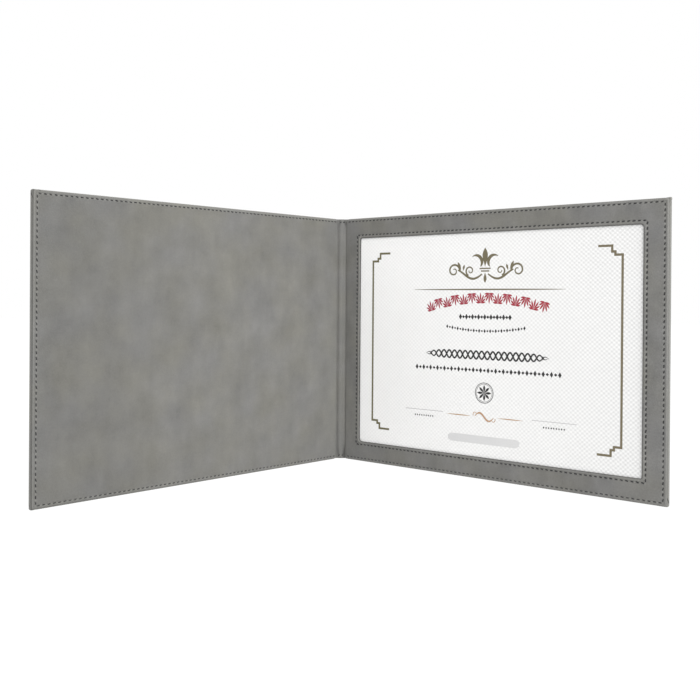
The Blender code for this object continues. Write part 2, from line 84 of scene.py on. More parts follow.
MM = 0.001
WELD = 2e-7
SHARP = radians(50.0)
WHITE = (1.0, 1.0, 1.0)

PANEL_WIDTH = 322.0
PANEL_HEIGHT = 240.0
MID_HEIGHT = PANEL_HEIGHT / 2
FOLD = radians(42.0)
SPINE_PITCH = 10.0
MID_SPINE = SPINE_PITCH / 2

OUTER_FACE = -0.85
GROOVE_FACE = 0.45
CREASE_FACE = 0.85
SPINE_SEAM_FACE = 1.35
BAND_FACE = 1.75
FLAP_FACE = 2.10
TURN_FACE = 2.45
SHEET_FACE = 2.45
LINING_FACE = 3.35
FRAME_FACE = 3.75
SHEET_LAYER = 0.8
FRAME_LAYER = 0.7

PLAIN_START = 4.0
BAND_EDGE = 1.15
LINING_INSET = 0.9
LIP_END = 3.0
FLAP_START = 2.95
FLAP_END = 10.2
FRAME_START = 2.4
FRAME_RIM = 0.45
WINDOW = (20.1, 301.4, 19.7, 220.0)
WINDOW_RADII = (1.5, 2.6, 1.8, 4.0)
CORNER_SPREAD = 4.5

SEAM_FORE = 3.8
SEAM_ENDS = 3.1
SEAM_START = 3.9
SPINE_SEAM_START = 1.9
WINDOW_SEAM_GAPS = (-3.9, 3.1, -3.1, 3.1)
STITCH_DEPTH = 0.16


def smooth(value: Array) -> Array:
    """An even step from 0 to 1: 3t^2 - 2t^3 of the value held between 0 and 1."""
    held = np.clip(value, 0.0, 1.0)
    return held * held * (3.0 - 2.0 * held)


def bell(value: Array, spread: float) -> Array:
    """A bell curve of that spread: e to the power of minus (value / spread) squared."""
    return np.exp(-((value / spread) ** 2))


def decay(value: Array, reach: float) -> Array:
    """A fall from 1 where the value is 0 or less: e to the power of minus value / reach."""
    return np.exp(-np.maximum(value, 0.0) / reach)


def hump(share: Array) -> Array:
    """A rise and fall over a share from 0 to 1: half a sine, squared."""
    return np.sin(pi * np.clip(share, 0.0, 1.0)) ** 2


def pairs(first: Places, second: Places) -> Array:
    """Two arrays as places, with the two values along the last axis."""
    return np.stack(np.broadcast_arrays(first, second), axis=-1)


def unit(vectors: Array) -> Array:
    """Vectors along the last axis, each with length 1."""
    return vectors / np.linalg.norm(vectors, axis=-1, keepdims=True)


def travelled(places: Array) -> Array:
    """Length of a line from its start to each of its points: the sum of the steps."""
    return np.append(0.0, np.cumsum(np.linalg.norm(np.diff(places, axis=0), axis=1)))


def from_ends(z: Array) -> Array:
    """Distance of some heights from the nearer of tail and head."""
    return np.minimum(z, PANEL_HEIGHT - z)


def corner_swell(u: Array, z: Array) -> Array:
    """Height of the soft bulges over the folded corners: a bell curve round each fore corner."""
    return bell(np.hypot(PANEL_WIDTH - u, from_ends(z)), CORNER_SPREAD)


def hinge_painted_light(u: Array, z: Array) -> Array:
    """Mask of painted light on the lining beside the crease, lifting its shade; it fades upwards and away
    from the crease.
    """
    return 0.34 * smooth((200.0 - z) / 90.0) * smooth((30.0 - u) / 28.0) * smooth(u - 2.4)


def added(name: str, data: bpy.types.ID) -> Object:
    """A new object, linked to the scene.

    Args:
        name: its name.
        data: its mesh, lamp or camera.

    Returns:
        The object.
    """
    item = bpy.data.objects.new(name, data)
    bpy.context.scene.collection.objects.link(item)
    return item


class Face(Enum):
    """Side of the holder that a seam shows on: its value is the way out along v."""

    INSIDE = 1.0
    OUTSIDE = -1.0


@dataclass(frozen=True)
class Plan:
    """Plan of one body: where its crease axis stands, and which way u and v run."""

    origin: Point
    along: Point
    inward: Point

    def place(self, u: Places, v: Places, z: Places) -> Array:
        """World points: the origin plus u along the plan and v inwards, with z kept.

        Args:
            u: places along the plan.
            v: levels across the layers.
            z: heights.

        Returns:
            The points in metres, with x, y and z along the last axis.
        """
        u, v, z = np.broadcast_arrays(u, v, z)
        x = self.origin[0] + MM * (u * self.along[0] + v * self.inward[0])
        y = self.origin[1] + MM * (u * self.along[1] + v * self.inward[1])
        return np.stack((x, y, MM * z), axis=-1)

    def spot(self, u: float, v: float) -> Array:
        """One plan place as a level point in metres."""
        return self.place(u, v, 0.0)[:2]

    def read(self, points: Array) -> Array:
        """Place along the plan of level points in metres, in millimetres."""
        return ((points - np.array(self.origin)) @ np.array(self.along)) / MM

    def outward(self, face: Face) -> Triple:
        """Direction that looks out of one face."""
        return (face.value * self.inward[0], face.value * self.inward[1], 0.0)


@dataclass(frozen=True)
class Half:
    """One panel with its half of the spine, which a crease joins."""

    name: str
    body: str
    panel: Plan
    spine: Plan

    def half_arc(self) -> float:
        """Half the length of the outer face that lies on the bend."""
        return -OUTER_FACE * FOLD / 2

    def wrap(self, s: Array, v: Array, z: Array) -> Array:
        """Points of a layer that bends round the crease axis.

        s is measured on the outer face, from the middle of the bend: beyond half an arc the layer lies
        straight on the panel or the spine, and between them a point turns about the axis by its share of
        the fold. Inside the axis, places are held back to the bisector of the fold.

        Args:
            s: flat distances from the middle of the bend, positive on the panel.
            v: levels across the layers.
            z: heights.

        Returns:
            The points in metres.
        """
        s, v, z = np.broadcast_arrays(s, v, z)
        half_arc = self.half_arc()
        least = np.maximum(v, 0.0) * tan(FOLD / 2)
        on_panel = self.panel.place(np.maximum(s - half_arc, least), v, z)
        on_spine = self.spine.place(np.maximum(-s - half_arc, least), v, z)
        share = np.clip(s / (2 * half_arc) + 0.5, 0.0, 1.0)[..., None]
        panel_in, spine_in = np.array(self.panel.inward), np.array(self.spine.inward)
        normal = unit(share * panel_in + (1 - share) * spine_in)
        level = v[..., None]
        bent = np.where(level < 0.0, level * normal, level / cos(FOLD / 2) * unit(panel_in + spine_in))
        on_bend = self.panel.place(0.0, 0.0, z)
        on_bend[..., :2] += MM * bent
        side = s[..., None]
        return np.where(side >= half_arc, on_panel, np.where(side <= -half_arc, on_spine, on_bend))

    def bend(self, piece: Object, reach: float) -> None:
        """Bake a piece's transform into its mesh; the two places that far from the crease axis are worked
        out but not used.
        """
        start, end = (plan.place(reach, 0.0, MID_HEIGHT) for plan in (self.panel, self.spine))
        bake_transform(piece)


def make_halves(joints: Sequence[Mapping[str, object]]) -> tuple[Half, Half]:
    """The halves, from the crease axes: the spine is turned by the fold, the front by twice the fold.

    Args:
        joints: the frame's joints.

    Returns:
        The rear half and the front half.
    """
    axes = {joint["name"]: tuple(joint["pos_m"][:2]) for joint in joints if "pos_m" in joint}
    rear, front = axes["rear_crease"], axes["front_crease"]
    along, inward = (-cos(FOLD), -sin(FOLD)), (sin(FOLD), -cos(FOLD))
    turned, turned_in = (-cos(2 * FOLD), -sin(2 * FOLD)), (sin(2 * FOLD), -cos(2 * FOLD))
    back = (-along[0], -along[1])
    return (
        Half("rear", "rear_panel", Plan(rear, (1.0, 0.0), (0.0, -1.0)), Plan(rear, along, inward)),
        Half("front", "front_panel", Plan(front, turned, turned_in), Plan(front, back, inward)),
    )


@dataclass
class Relief:
    """What seams and edges do to a face: its height, its mask of paler places, from rubbing and painted
    highlights, and its mask of darker places, from painted shade and a dyed edge.
    """

    height: Places = 0.0
    wear: Places = 0.0
    dye: Places = 0.0

    def rub(self, mask: Array) -> None:
        """Make the face paler where a mask is the stronger one, for rubbing and for painted highlights."""
        self.wear = np.maximum(self.wear, mask)

    def darken(self, mask: Array) -> None:
        """Darken the face where a mask is the stronger one, mostly as painted shade, partly for a dyed
        edge.
        """
        self.dye = np.maximum(self.dye, mask)

    def join(self, other: "Relief") -> None:
        """Take in another relief: heights are added, and the stronger mask holds.

        Args:
            other: the other relief.
        """
        self.height = self.height + other.height
        self.rub(other.wear)
        self.darken(other.dye)

    def on_outer_face(self, level: Array) -> "Relief":
        """The relief kept on the outer face only, and faded out within 0.1 mm above it."""
        share = smooth((OUTER_FACE + 0.1 - level) / 0.1)
        return Relief(self.height * share, self.wear * share, self.dye * share)


class Surface:
    """Gathers grids of points into one welded mesh with a flat UV map and masks."""

    def __init__(self) -> None:
        """Start with no grid."""
        self.points: list[Array] = []
        self.flat: list[Array] = []
        # Masks: paler places from rubbing and painted highlights; darker places from painted shade and a
        # dyed edge.
        self.masks: dict[str, list[Array]] = {"wear": [], "dye": []}
        self.quads: list[NDArray[np.int64]] = []
        self.count = 0

    def add(
        self, points: Array, flat: Array, relief: Relief = Relief(), facing: Sequence[float] | None = None
    ) -> None:
        """Add a grid, or a stack of grids, whose last two grid axes are rows and columns.

        Args:
            points: the grid's points in metres, raised by the relief's height already.
            flat: the same points on the flat sheet, in millimetres.
            relief: where the masks come from.
            facing: a direction that the grid's faces look along in sum, or None to leave them.
        """
        shape = points.shape[:-1]
        index = np.arange(int(np.prod(shape))).reshape(shape)
        corners = (index[..., :-1, :-1], index[..., :-1, 1:], index[..., 1:, 1:], index[..., 1:, :-1])
        quads = np.stack(corners, axis=-1).reshape(-1, 4)
        spots = points.reshape(-1, 3)
        if facing is not None:
            a, b, c, d = spots[quads].swapaxes(0, 1)
            if np.cross(c - a, d - b).sum(axis=0) @ np.array(facing) < 0.0:
                quads = quads[:, ::-1]
        self.quads.append(quads + self.count)
        self.points.append(spots)
        self.flat.append(np.broadcast_to(flat, (*shape, 2)).reshape(-1, 2) * MM)
        self.masks["wear"].append(np.broadcast_to(relief.wear, shape).reshape(-1))
        self.masks["dye"].append(np.broadcast_to(relief.dye, shape).reshape(-1))
        self.count += len(spots)

    def build(
        self, name: str, materials: Sequence[Material], solid: bool = False, thickness: float = 0.0
    ) -> Object:
        """Weld the grids into one object with smooth faces that stay crisp at sharp edges.

        Points that round to the same place become one. A quad whose neighbouring corners meet becomes a
        triangle, and one that collapses further is left out.

        Args:
            name: name of the object.
            materials: finish of the faces and, on a sheet, finish of its cut rim.
            solid: whether the grids close, so that their volume tells which way is out.
            thickness: thickness of a sheet in millimetres, or 0 to leave the faces bare.

        Returns:
            The new object.
        """
        points, source = np.concatenate(self.points), np.concatenate(self.quads)
        keys = np.round(points / WELD).astype(np.int64)
        _, first, inverse = np.unique(keys, axis=0, return_index=True, return_inverse=True)
        spots = points[first]
        quads = inverse.reshape(-1)[source]
        same = quads == np.roll(quads, -1, axis=1)
        crossed = (quads[:, 0] == quads[:, 2]) | (quads[:, 1] == quads[:, 3])
        single = (same.sum(axis=1) == 1) & ~crossed
        keep = ~np.roll(same, 1, axis=1)[single]
        faces = np.stack((quads, source), axis=-1)
        squares = faces[~same.any(axis=1) & ~crossed]
        triangles = faces[single][keep].reshape(-1, 3, 2)
        if solid:
            halves = np.concatenate((squares[:, :3], squares[:, [0, 2, 3]], triangles))[..., 0]
            a, b, c = spots[halves].swapaxes(0, 1)
            if np.einsum("ij,ij->i", a, np.cross(b, c)).sum() < 0.0:
                squares, triangles = squares[:, ::-1], triangles[:, ::-1]
        mesh = bpy.data.meshes.new(name)
        mesh.from_pydata(spots.tolist(), [], squares[..., 0].tolist() + triangles[..., 0].tolist())
        loops = np.concatenate((squares[..., 1].reshape(-1), triangles[..., 1].reshape(-1)))
        layer = mesh.uv_layers.new(name="flat")
        layer.data.foreach_set("uv", np.concatenate(self.flat)[loops].astype(np.float32).ravel())
        for mask, values in self.masks.items():
            attribute = mesh.attributes.new(mask, "FLOAT", "POINT")
            attribute.data.foreach_set("value", np.concatenate(values)[first].astype(np.float32))
        for material in materials:
            mesh.materials.append(material)
        item = added(name, mesh)
        if thickness:
            thicken(item, thickness)
        item.data.shade_smooth()
        item.data.set_sharp_from_angle(angle=SHARP)
        return item


def thicken(item: Object, thickness: float) -> None:
    """Give a sheet its thickness on the side away from its faces. Its rim takes the last material.

    Args:
        item: the sheet, seen from its good side.
        thickness: thickness in millimetres.
    """
    wall = item.modifiers.new("thickness", "SOLIDIFY")
    wall.thickness = thickness * MM
    wall.offset = -1.0
    wall.material_offset_rim = len(item.data.materials) - 1
    bpy.context.view_layer.update()
    graph = bpy.context.evaluated_depsgraph_get()
    sheet = item.data
    item.data = bpy.data.meshes.new_from_object(
        item.evaluated_get(graph), preserve_all_data_layers=True, depsgraph=graph
    )
    item.modifiers.clear()
    bpy.data.meshes.remove(sheet)
    item.data.name = item.name


class Leg(NamedTuple):
    """One straight run of a seam: its start, its direction, its length and its number of stitches."""

    u: float
    z: float
    du: float
    dz: float
    length: float
    count: int


@dataclass(frozen=True)
class Seam:
    """A lockstitched line of straight legs, with a needle hole at every corner.

    The thread pulls a groove into the sheet: a bell curve across the line, shallower at the needle holes
    between two stitches, where the sheet puckers up and is painted pale as a highlight. Along the thread
    the sheet is painted darker as shade. A low swell runs along both sides.
    Stitches on legs that run out from the crease are thinner by the share called faint.
    """

    corners: tuple[Point, ...]
    pitch: float = 4.3
    dash: float = 2.6
    thread: float = 0.74
    slant: float = radians(13.0)
    unrest: float = radians(9.0)
    uneven_length: float = 0.09
    uneven_place: float = 0.07
    uneven_thickness: float = 0.2
    lobe: float = 0.13
    twist: float = 1.6 * pi
    flatness: float = 0.42
    crown: float = 0.16
    dive: float = 0.5
    groove: float = 0.24
    pucker: float = 0.75
    spread: float = 0.6
    swell: float = 0.05
    swell_at: float = 1.2
    ease: float = 0.4
    shade: float = 0.28
    faint: float = 1.0

    def legs(self) -> list[Leg]:
        """The straight runs between the corners, each with a whole number of stitches.

        Returns:
            One leg for each pair of corners.
        """
        found = []
        for here, there in zip(self.corners, self.corners[1:]):
            du, dz = there[0] - here[0], there[1] - here[1]
            length = hypot(du, dz)
            count = max(round(length / self.pitch), 1)
            found.append(Leg(here[0], here[1], du / length, dz / length, length, count))
        return found

    def press(self, u: Array, z: Array) -> Relief:
        """What the seam does to the sheet.

        Args:
            u: places along the plan.
            z: heights.

        Returns:
            The relief: painted pale as a highlight where the sheet puckers between the stitches, and
                painted dark as shade under them.
        """
        relief = Relief(np.zeros(np.broadcast_shapes(np.shape(u), np.shape(z))))
        for leg in self.legs():
            along = (u - leg.u) * leg.du + (z - leg.z) * leg.dz
            across = (z - leg.z) * leg.du - (u - leg.u) * leg.dz
            before = smooth((along + self.ease) / (2 * self.ease))
            within = before * smooth((leg.length + self.ease - along) / (2 * self.ease))
            gap = (0.5 + 0.5 * np.cos(2 * pi * along * leg.count / leg.length)) ** 2
            thread = bell(across, self.spread)
            sunk = -self.groove * thread * (1.0 - self.pucker * gap)
            swollen = self.swell * bell(np.abs(across) - self.swell_at, 0.5) * (1.0 - 0.6 * gap)
            lower = np.minimum(relief.height, within * sunk)
            relief.height = np.where(within > 0.0, lower, relief.height) + within * swollen
            # Painted highlight on the puckers between the stitches.
            relief.rub(within * thread * gap)
            # Painted shade in the groove under each stitch.
            relief.darken(self.shade * within * thread * (1.0 - gap))
        return relief

    def lay(self, plan: Plan, level: float, face: Face) -> tuple[Array, Array]:
        """Points and flat places of every stitch.

        A stitch is a short thread of two twisted strands: an oval carried along the line, with two lobes
        that turn as it goes. It crowns in the middle and dives into the needle holes at its ends. All
        lean outwards from the crease, and each has its own slant, place, length and thickness.

        Args:
            plan: plan of the panel or spine.
            level: level that the stitches are laid on.
            face: side that they show on.

        Returns:
            Stacks of points in metres and of flat places in millimetres, one grid for each stitch.
        """
        reach = np.array([-1.0, -1.0, -0.82, -0.5, -0.17, 0.17, 0.5, 0.82, 1.0, 1.0])[:, None]
        girth = np.array([0.0, 0.7, 0.9, 1.0, 1.0, 1.0, 1.0, 0.9, 0.7, 0.0])[:, None]
        angle = np.linspace(0.0, 2 * pi, 8)[None, :]
        lobes = 1.0 + self.lobe * np.cos(2.0 * (angle - self.twist * reach))
        crown = self.crown - self.dive * np.abs(reach) ** 5
        bulge = self.thread * self.flatness * girth * lobes * np.sin(angle)
        chance = np.random.default_rng(len(self.corners))
        points, flats = [], []
        for leg in self.legs():
            own = chance.uniform(-1.0, 1.0, (4, leg.count, 1, 1))
            thick = (1.0 + self.uneven_thickness * own[3]) * (self.faint if leg.du > 0.5 else 1.0)
            middle = (np.arange(leg.count) + 0.5)[:, None, None] * leg.length / leg.count
            ahead = reach * self.dash / 2 * (1.0 + self.uneven_length * own[0]) + 0.0 * angle
            slant = self.unrest * own[1] - self.slant * (leg.du + leg.dz)
            lean = ahead * np.tan(slant) + self.uneven_place * own[2]
            aside = thick * self.thread / 2 * girth * lobes * np.cos(angle) + lean
            u = leg.u + leg.du * (middle + ahead) - leg.dz * aside
            z = leg.z + leg.dz * (middle + ahead) + leg.du * aside
            points.append(plan.place(u, level + face.value * (crown + thick * bulge), z))
            flats.append(pairs(middle + ahead, self.thread * angle))
        return np.concatenate(points), np.concatenate(flats)


def oblong(low_u: float, high_u: float, low_z: float, high_z: float) -> tuple[Point, ...]:
    """Corners of an oblong, from its low start round by the fore edge."""
    return ((low_u, low_z), (high_u, low_z), (high_u, high_z), (low_u, high_z))


SEAM_HEIGHTS = (SEAM_ENDS, PANEL_HEIGHT - SEAM_ENDS)
EDGE_SEAM = Seam(oblong(SEAM_START, PANEL_WIDTH - SEAM_FORE, *SEAM_HEIGHTS), faint=0.72)
SPINE_SEAMS = tuple(
    Seam(((SPINE_SEAM_START, z), (SPINE_PITCH - SPINE_SEAM_START, z)), pitch=3.2, dash=2.4)
    for z in SEAM_HEIGHTS
)
WINDOW_CORNERS = oblong(*(WINDOW[side] + gap for side, gap in enumerate(WINDOW_SEAM_GAPS)))
WINDOW_SEAM = Seam((*WINDOW_CORNERS, WINDOW_CORNERS[0]), thread=0.88, shade=0.5)


def pressed(seams: Iterable[tuple[Seam, Array]], z: Array) -> Relief:
    """What several seams do together.

    Args:
        seams: each seam with the places along its own plan.
        z: heights.

    Returns:
        The joined relief.
    """
    relief = Relief()
    for seam, u in seams:
        relief.join(seam.press(u, z))
    return relief


@dataclass(frozen=True)
class ForePath:
    """U-shaped paths along tail, fore edge and head of a panel, one for each inset.

    Each path runs straight along the tail, a quarter turn, straight up the fore edge, and back along the
    head as the mirror image of the tail.
    """

    start: float = PLAIN_START
    radius: float = 1.5
    fine: float = 0.3
    coarse: float = 0.86
    near: float = 7.0
    arc: int = 6

    def shares(self, length: float) -> Array:
        """Places from 0 to 1 along a run: fine steps near its far end, coarse ones before.

        Args:
            length: length of the run.

        Returns:
            The places.
        """
        plain = length - self.near
        far = np.linspace(0.0, plain, max(int(plain / self.coarse), 1), endpoint=False)
        close = np.linspace(plain, length, int(self.near / self.fine) + 1)
        return np.concatenate((far, close)) / length

    def lines(self, inset: Array) -> tuple[Array, Array]:
        """Places of every path.

        Args:
            inset: distance of each path from the panel's edges.

        Returns:
            Arrays of u and z with a row for each inset.
        """
        inset = inset[:, None]
        round_by = np.maximum(self.radius - inset, 0.0)
        half = self.shares(MID_HEIGHT)
        up = np.concatenate((1.0 - half[::-1], 1.0 + half[1:]))[None, :] / 2
        turn = np.linspace(0.0, pi / 2, self.arc)[None, 1:-1]
        bend = PANEL_WIDTH - inset - round_by
        low = inset + round_by
        tail_u = self.start + (bend - self.start) * self.shares(PANEL_WIDTH - self.start)[None, :]
        tail_z = np.broadcast_to(inset, tail_u.shape)
        arc_u = bend + round_by * np.sin(turn)
        arc_z = low - round_by * np.cos(turn)
        up_z = low + (PANEL_HEIGHT - 2 * low) * up
        up_u = np.broadcast_to(PANEL_WIDTH - inset, up_z.shape)
        u = np.concatenate((tail_u, arc_u, up_u, arc_u[:, ::-1], tail_u[:, ::-1]), axis=1)
        head = (PANEL_HEIGHT - arc_z[:, ::-1], PANEL_HEIGHT - tail_z[:, ::-1])
        return u, np.concatenate((tail_z, arc_z, up_z, *head), axis=1)


@dataclass(frozen=True)
class Sheet:
    """A sheet on one half. Unless the bend's reach is 0 its transform is baked into its mesh; otherwise it
    is attached to the half's body.
    """

    half: Half
    pattern: ClassVar[str] = "{}_sheet"
    side: ClassVar[Face] = Face.INSIDE
    layer: ClassVar[float] = SHEET_LAYER
    crease_reach: ClassVar[float] = 0.0

    def facing(self) -> Triple:
        """Direction that the good side looks along."""
        return self.half.panel.outward(self.side)

    def lay(self, surface: Surface, u: Array, v: Array, z: Array, flat: Array, relief: Relief) -> None:
        """Add a grid of the panel's plan to a surface."""
        surface.add(self.half.panel.place(u, v, z), flat, relief, self.facing())

    def fill(self, surface: Surface) -> None:
        """Add the sheet's grids to a surface. Every kind of sheet has its own."""
        raise NotImplementedError

    def build(self, materials: Sequence[Material]) -> Object:
        """Build the sheet with its thickness, and attach it to its body or bake its transform.

        Args:
            materials: finish of the sheet and finish of its cut rim.

        Returns:
            The finished piece.
        """
        surface = Surface()
        self.fill(surface)
        item = surface.build(self.pattern.format(self.half.name), materials, thickness=self.layer)
        if self.crease_reach:
            self.half.bend(item, self.crease_reach)
        else:
            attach(item, self.half.body)
        return item


@dataclass(frozen=True)
class Cover(Sheet):
    """Outer leatherette of one panel and half the spine: wrapped over the edges and turned in.

    Its profile runs from the middle of the outer face to the edge, round the edge and on to the turn-in.
    """

    pattern: ClassVar[str] = "{}_cover"
    side: ClassVar[Face] = Face.OUTSIDE
    crease_reach: ClassVar[float] = 1.1
    paled: float
    roll: float = 1.0
    turn_in: float = 12.5
    swell: float = 0.22
    pleat: float = 0.12
    tip: float = 1.0
    edge_wear: float = 0.35
    ledge: float = 2.0
    # From here: shade painted on the turned-in ledge, then which corner fold gets the dark painted shade,
    # and how dark and how faint that shade is.
    shaded_ledge: float = 0.0
    dark_at_head: bool = False
    dark_fold: float = 0.95
    faint_fold: float = 0.3
    band_rise: float = 0.7
    pinched_rise: float = 0.55
    pinch_start: float = 14.0
    pinch_run: float = 12.0
    face_insets: tuple[float, ...] = (
        120.0, 80.0, 40.0, 20.0, 12.0, 8.0, 6.3, 5.4, 4.9, 4.65, 4.42, 4.2, 3.98, 3.75, 3.5, 3.3, 3.1,
        2.9, 2.7, 2.45, 2.0, 1.5,
    )
    bend_places: tuple[float, ...] = (-0.2, -0.1, 0.0, 0.1, 0.2)
    panel_places: tuple[float, ...] = (
        0.0, 0.2, 0.4, 0.7, 1.0, 1.3, 1.6, 1.8, 2.0, 2.2, 2.4, 2.6, 2.8, 3.0, 3.3, PLAIN_START,
    )
    spine_places: tuple[float, ...] = (
        0.0, 0.2, 0.4, 0.7, 1.0, 1.3, 1.6, 1.9, 2.2, 2.6, 3.0, 3.4, 3.9, 4.4, MID_SPINE,
    )

    def profile(self) -> tuple[Array, Array, Array]:
        """Inset, level and flat inset of each row: straight, a quarter round, straight, and so on.

        Returns:
            The insets, the levels, and the insets that the rows would have on the flat sheet.
        """
        quarter = np.linspace(0.0, pi / 2, 6)
        leaving, closing = self.roll * (1.0 - np.cos(quarter)), self.roll * (1.0 - np.sin(quarter))
        wall = np.linspace(OUTER_FACE + self.roll, TURN_FACE - self.roll, 5)[1:-1]
        turned = (2.0, 5.0, 9.0, self.turn_in)
        inset = np.concatenate((self.face_insets, closing, 0.0 * wall, leaving, turned))
        flat_face = np.full(len(self.face_insets), OUTER_FACE)
        flat_turn = np.full(len(turned), TURN_FACE)
        level = np.concatenate((flat_face, OUTER_FACE + leaving, wall, TURN_FACE - closing, flat_turn))
        return inset, level, inset[0] - travelled(pairs(inset, level))

    def relief(self, u: Array, z: Array, inset: Array, level: Array) -> Relief:
        """Relief of the panel's part: the seam on the outer face, rolled edges that are pale from rubbing,
        and painted shade on the turned-in ledge at the fore edge.

        Args:
            u: places along the plan.
            z: heights.
            inset: distances from the panel's edges.
            level: levels of the profile.

        Returns:
            The relief, whose height is measured out of the outer face.
        """
        relief = EDGE_SEAM.press(u, z).on_outer_face(level)
        # Painted shade on the ledge between the turned-in edge and the lining, at the fore edge.
        ledge = smooth((level - 1.0) / 0.8) * (PANEL_WIDTH - u < self.ledge)
        dark = self.shaded_ledge * ledge * smooth((self.ledge - inset) / 0.5)
        on_wall = smooth((level + 0.9) / 1.2)
        paled = self.edge_wear * bell(inset, 1.2) + self.paled * bell(inset, 1.3) * on_wall
        relief.rub(paled * (1.0 - np.minimum(2.0 * dark, 1.0)))
        relief.darken(dark)
        return relief

    def pleated(self, u: Array, z: Array, v: Array, inset: Array) -> tuple[Array, Array, Array]:
        """Sink the slanting folds of each corner into the edge wall, and round out its tip.

        A fold starts at the outer corner and slants inwards: its distance from the corner grows with the
        level, and its cut is a narrow bell curve. The head corner's tip stands out by another bell curve,
        where the turned-in ends lie thick on each other.

        Args:
            u: places along the plan.
            z: heights.
            v: levels.
            inset: distances from the panel's edges.

        Returns:
            The changed places and heights, and the mask of painted shade inside the folds.
        """
        away_fore = from_ends(z) - inset
        away_ends = PANEL_WIDTH - u - inset
        slit = 1.4 + 1.1 * (v - OUTER_FACE) + inset
        on_wall = smooth((1.8 - inset) / 0.6) * smooth((v + 0.9) / 0.5)
        fold = bell(np.maximum(away_fore, away_ends) - slit, 0.95) * on_wall
        depth = self.pleat * fold
        fore_side = away_ends < away_fore
        at_head = z > MID_HEIGHT
        tip = self.tip * bell(np.hypot(PANEL_WIDTH - u, PANEL_HEIGHT - z), 2.8) * smooth((v + 0.4) / 2.0)
        new_u = u - np.where(fore_side, depth, 0.0) + tip
        new_z = z + np.where(fore_side, 0.0, depth * np.where(at_head, -1.0, 1.0)) + 0.4 * tip
        # Painted shade inside the folds: dark at one corner, faint at the other.
        darkness = np.where(at_head == self.dark_at_head, self.dark_fold, self.faint_fold)
        return new_u, new_z, darkness * smooth(1.3 * fold)

    def turn_level(self, s: Array, pinch: Array) -> Array:
        """Level of the turn-in across the crease: full on the panel, low in the groove, higher on the band.

        Args:
            s: flat distances from the middle of the bend.
            pinch: share by which the band is sunk and narrowed, as at head and tail.

        Returns:
            The levels.
        """
        place = np.abs(s) - self.half.half_arc()
        on_panel = GROOVE_FACE + (TURN_FACE - GROOVE_FACE) * smooth((place - 2.9) / 1.0)
        band = smooth((place - 2.1) / 0.9) * (1.0 - pinch) * self.band_rise
        narrow = smooth((place - 2.6) / 1.6) * pinch * self.pinched_rise
        return np.where(s > 0.0, on_panel, GROOVE_FACE + band + narrow)

    def add_bend(self, surface: Surface, inset: Array, level: Array, flat: Array) -> None:
        """Add the strip that goes from the panel round the crease to the middle of the spine.

        Args:
            surface: where the strip's two ends, at tail and head, are added.
            inset: insets of the profile's rows.
            level: their levels.
            flat: their insets on the flat sheet.
        """
        half_arc = self.half.half_arc()
        on_spine = -np.array(self.spine_places[::-1]) - half_arc
        on_panel = np.array(self.panel_places) + half_arc
        s = np.concatenate((on_spine, self.bend_places, on_panel))[None, :]
        z, level, flat = (rows[:, None] + 0.0 * s for rows in (inset, level, flat))
        top = self.turn_level(s, smooth((self.pinch_start - z) / self.pinch_run))
        v = OUTER_FACE + (level - OUTER_FACE) * (top - OUTER_FACE) / (TURN_FACE - OUTER_FACE)
        for heights, flat_z in ((z, flat), (PANEL_HEIGHT - z, PANEL_HEIGHT - flat)):
            seams = [(EDGE_SEAM, s - half_arc), *((seam, -s - half_arc) for seam in SPINE_SEAMS)]
            relief = pressed(seams, heights).on_outer_face(level)
            points = self.half.wrap(s, v - relief.height, heights)
            surface.add(points, pairs(s - half_arc, flat_z), relief, self.facing())

    def fill(self, surface: Surface) -> None:
        """Add the panel's part and the strip that bends.

        Args:
            surface: where they are added.
        """
        inset, level, flat = self.profile()
        path = ForePath()
        u, z = path.lines(inset)
        away = inset[:, None]
        v = np.broadcast_to(level[:, None], u.shape)
        relief = self.relief(u, z, away, v)
        on_edge = smooth((v - 0.4) / 1.6) * bell(away, 3.0)
        v = v - relief.height + self.swell * corner_swell(u, z) * on_edge
        u, z, fold = self.pleated(u, z, v, away)
        # Painted shade inside the corner folds.
        relief.darken(fold)
        self.lay(surface, u, v, z, pairs(*path.lines(flat)), relief)
        self.add_bend(surface, inset, level, flat)


def rounded_section(corners: Sequence[tuple[Array, float]], steps: int = 5) -> Array:
    """A level line whose corners are rounded by parabolas.

    A corner's parabola starts and ends its reach away on the two straights, and has the corner as its
    control point: (1-t)^2 a + 2t(1-t) corner + t^2 b.

    Args:
        corners: level points in metres with their reach in millimetres, 0 for a plain point.
        steps: points on each parabola.

    Returns:
        The line's points.
    """
    t = np.linspace(0.0, 1.0, steps)[:, None]
    rows = []
    for index, (corner, reach) in enumerate(corners):
        if reach == 0.0:
            rows.append(corner[None, :])
            continue
        start = corner + unit(corners[index - 1][0] - corner) * reach * MM
        end = corner + unit(corners[index + 1][0] - corner) * reach * MM
        rows.append((1 - t) ** 2 * start + 2 * t * (1 - t) * corner + t**2 * end)
    return np.concatenate(rows)


class Section(NamedTuple):
    """Sizes of a lining's section: the band's level, edge, foot and rounding, and the groove's floor."""

    top: float
    edge: float
    foot: float
    reach: float
    floor: float
    turn: float


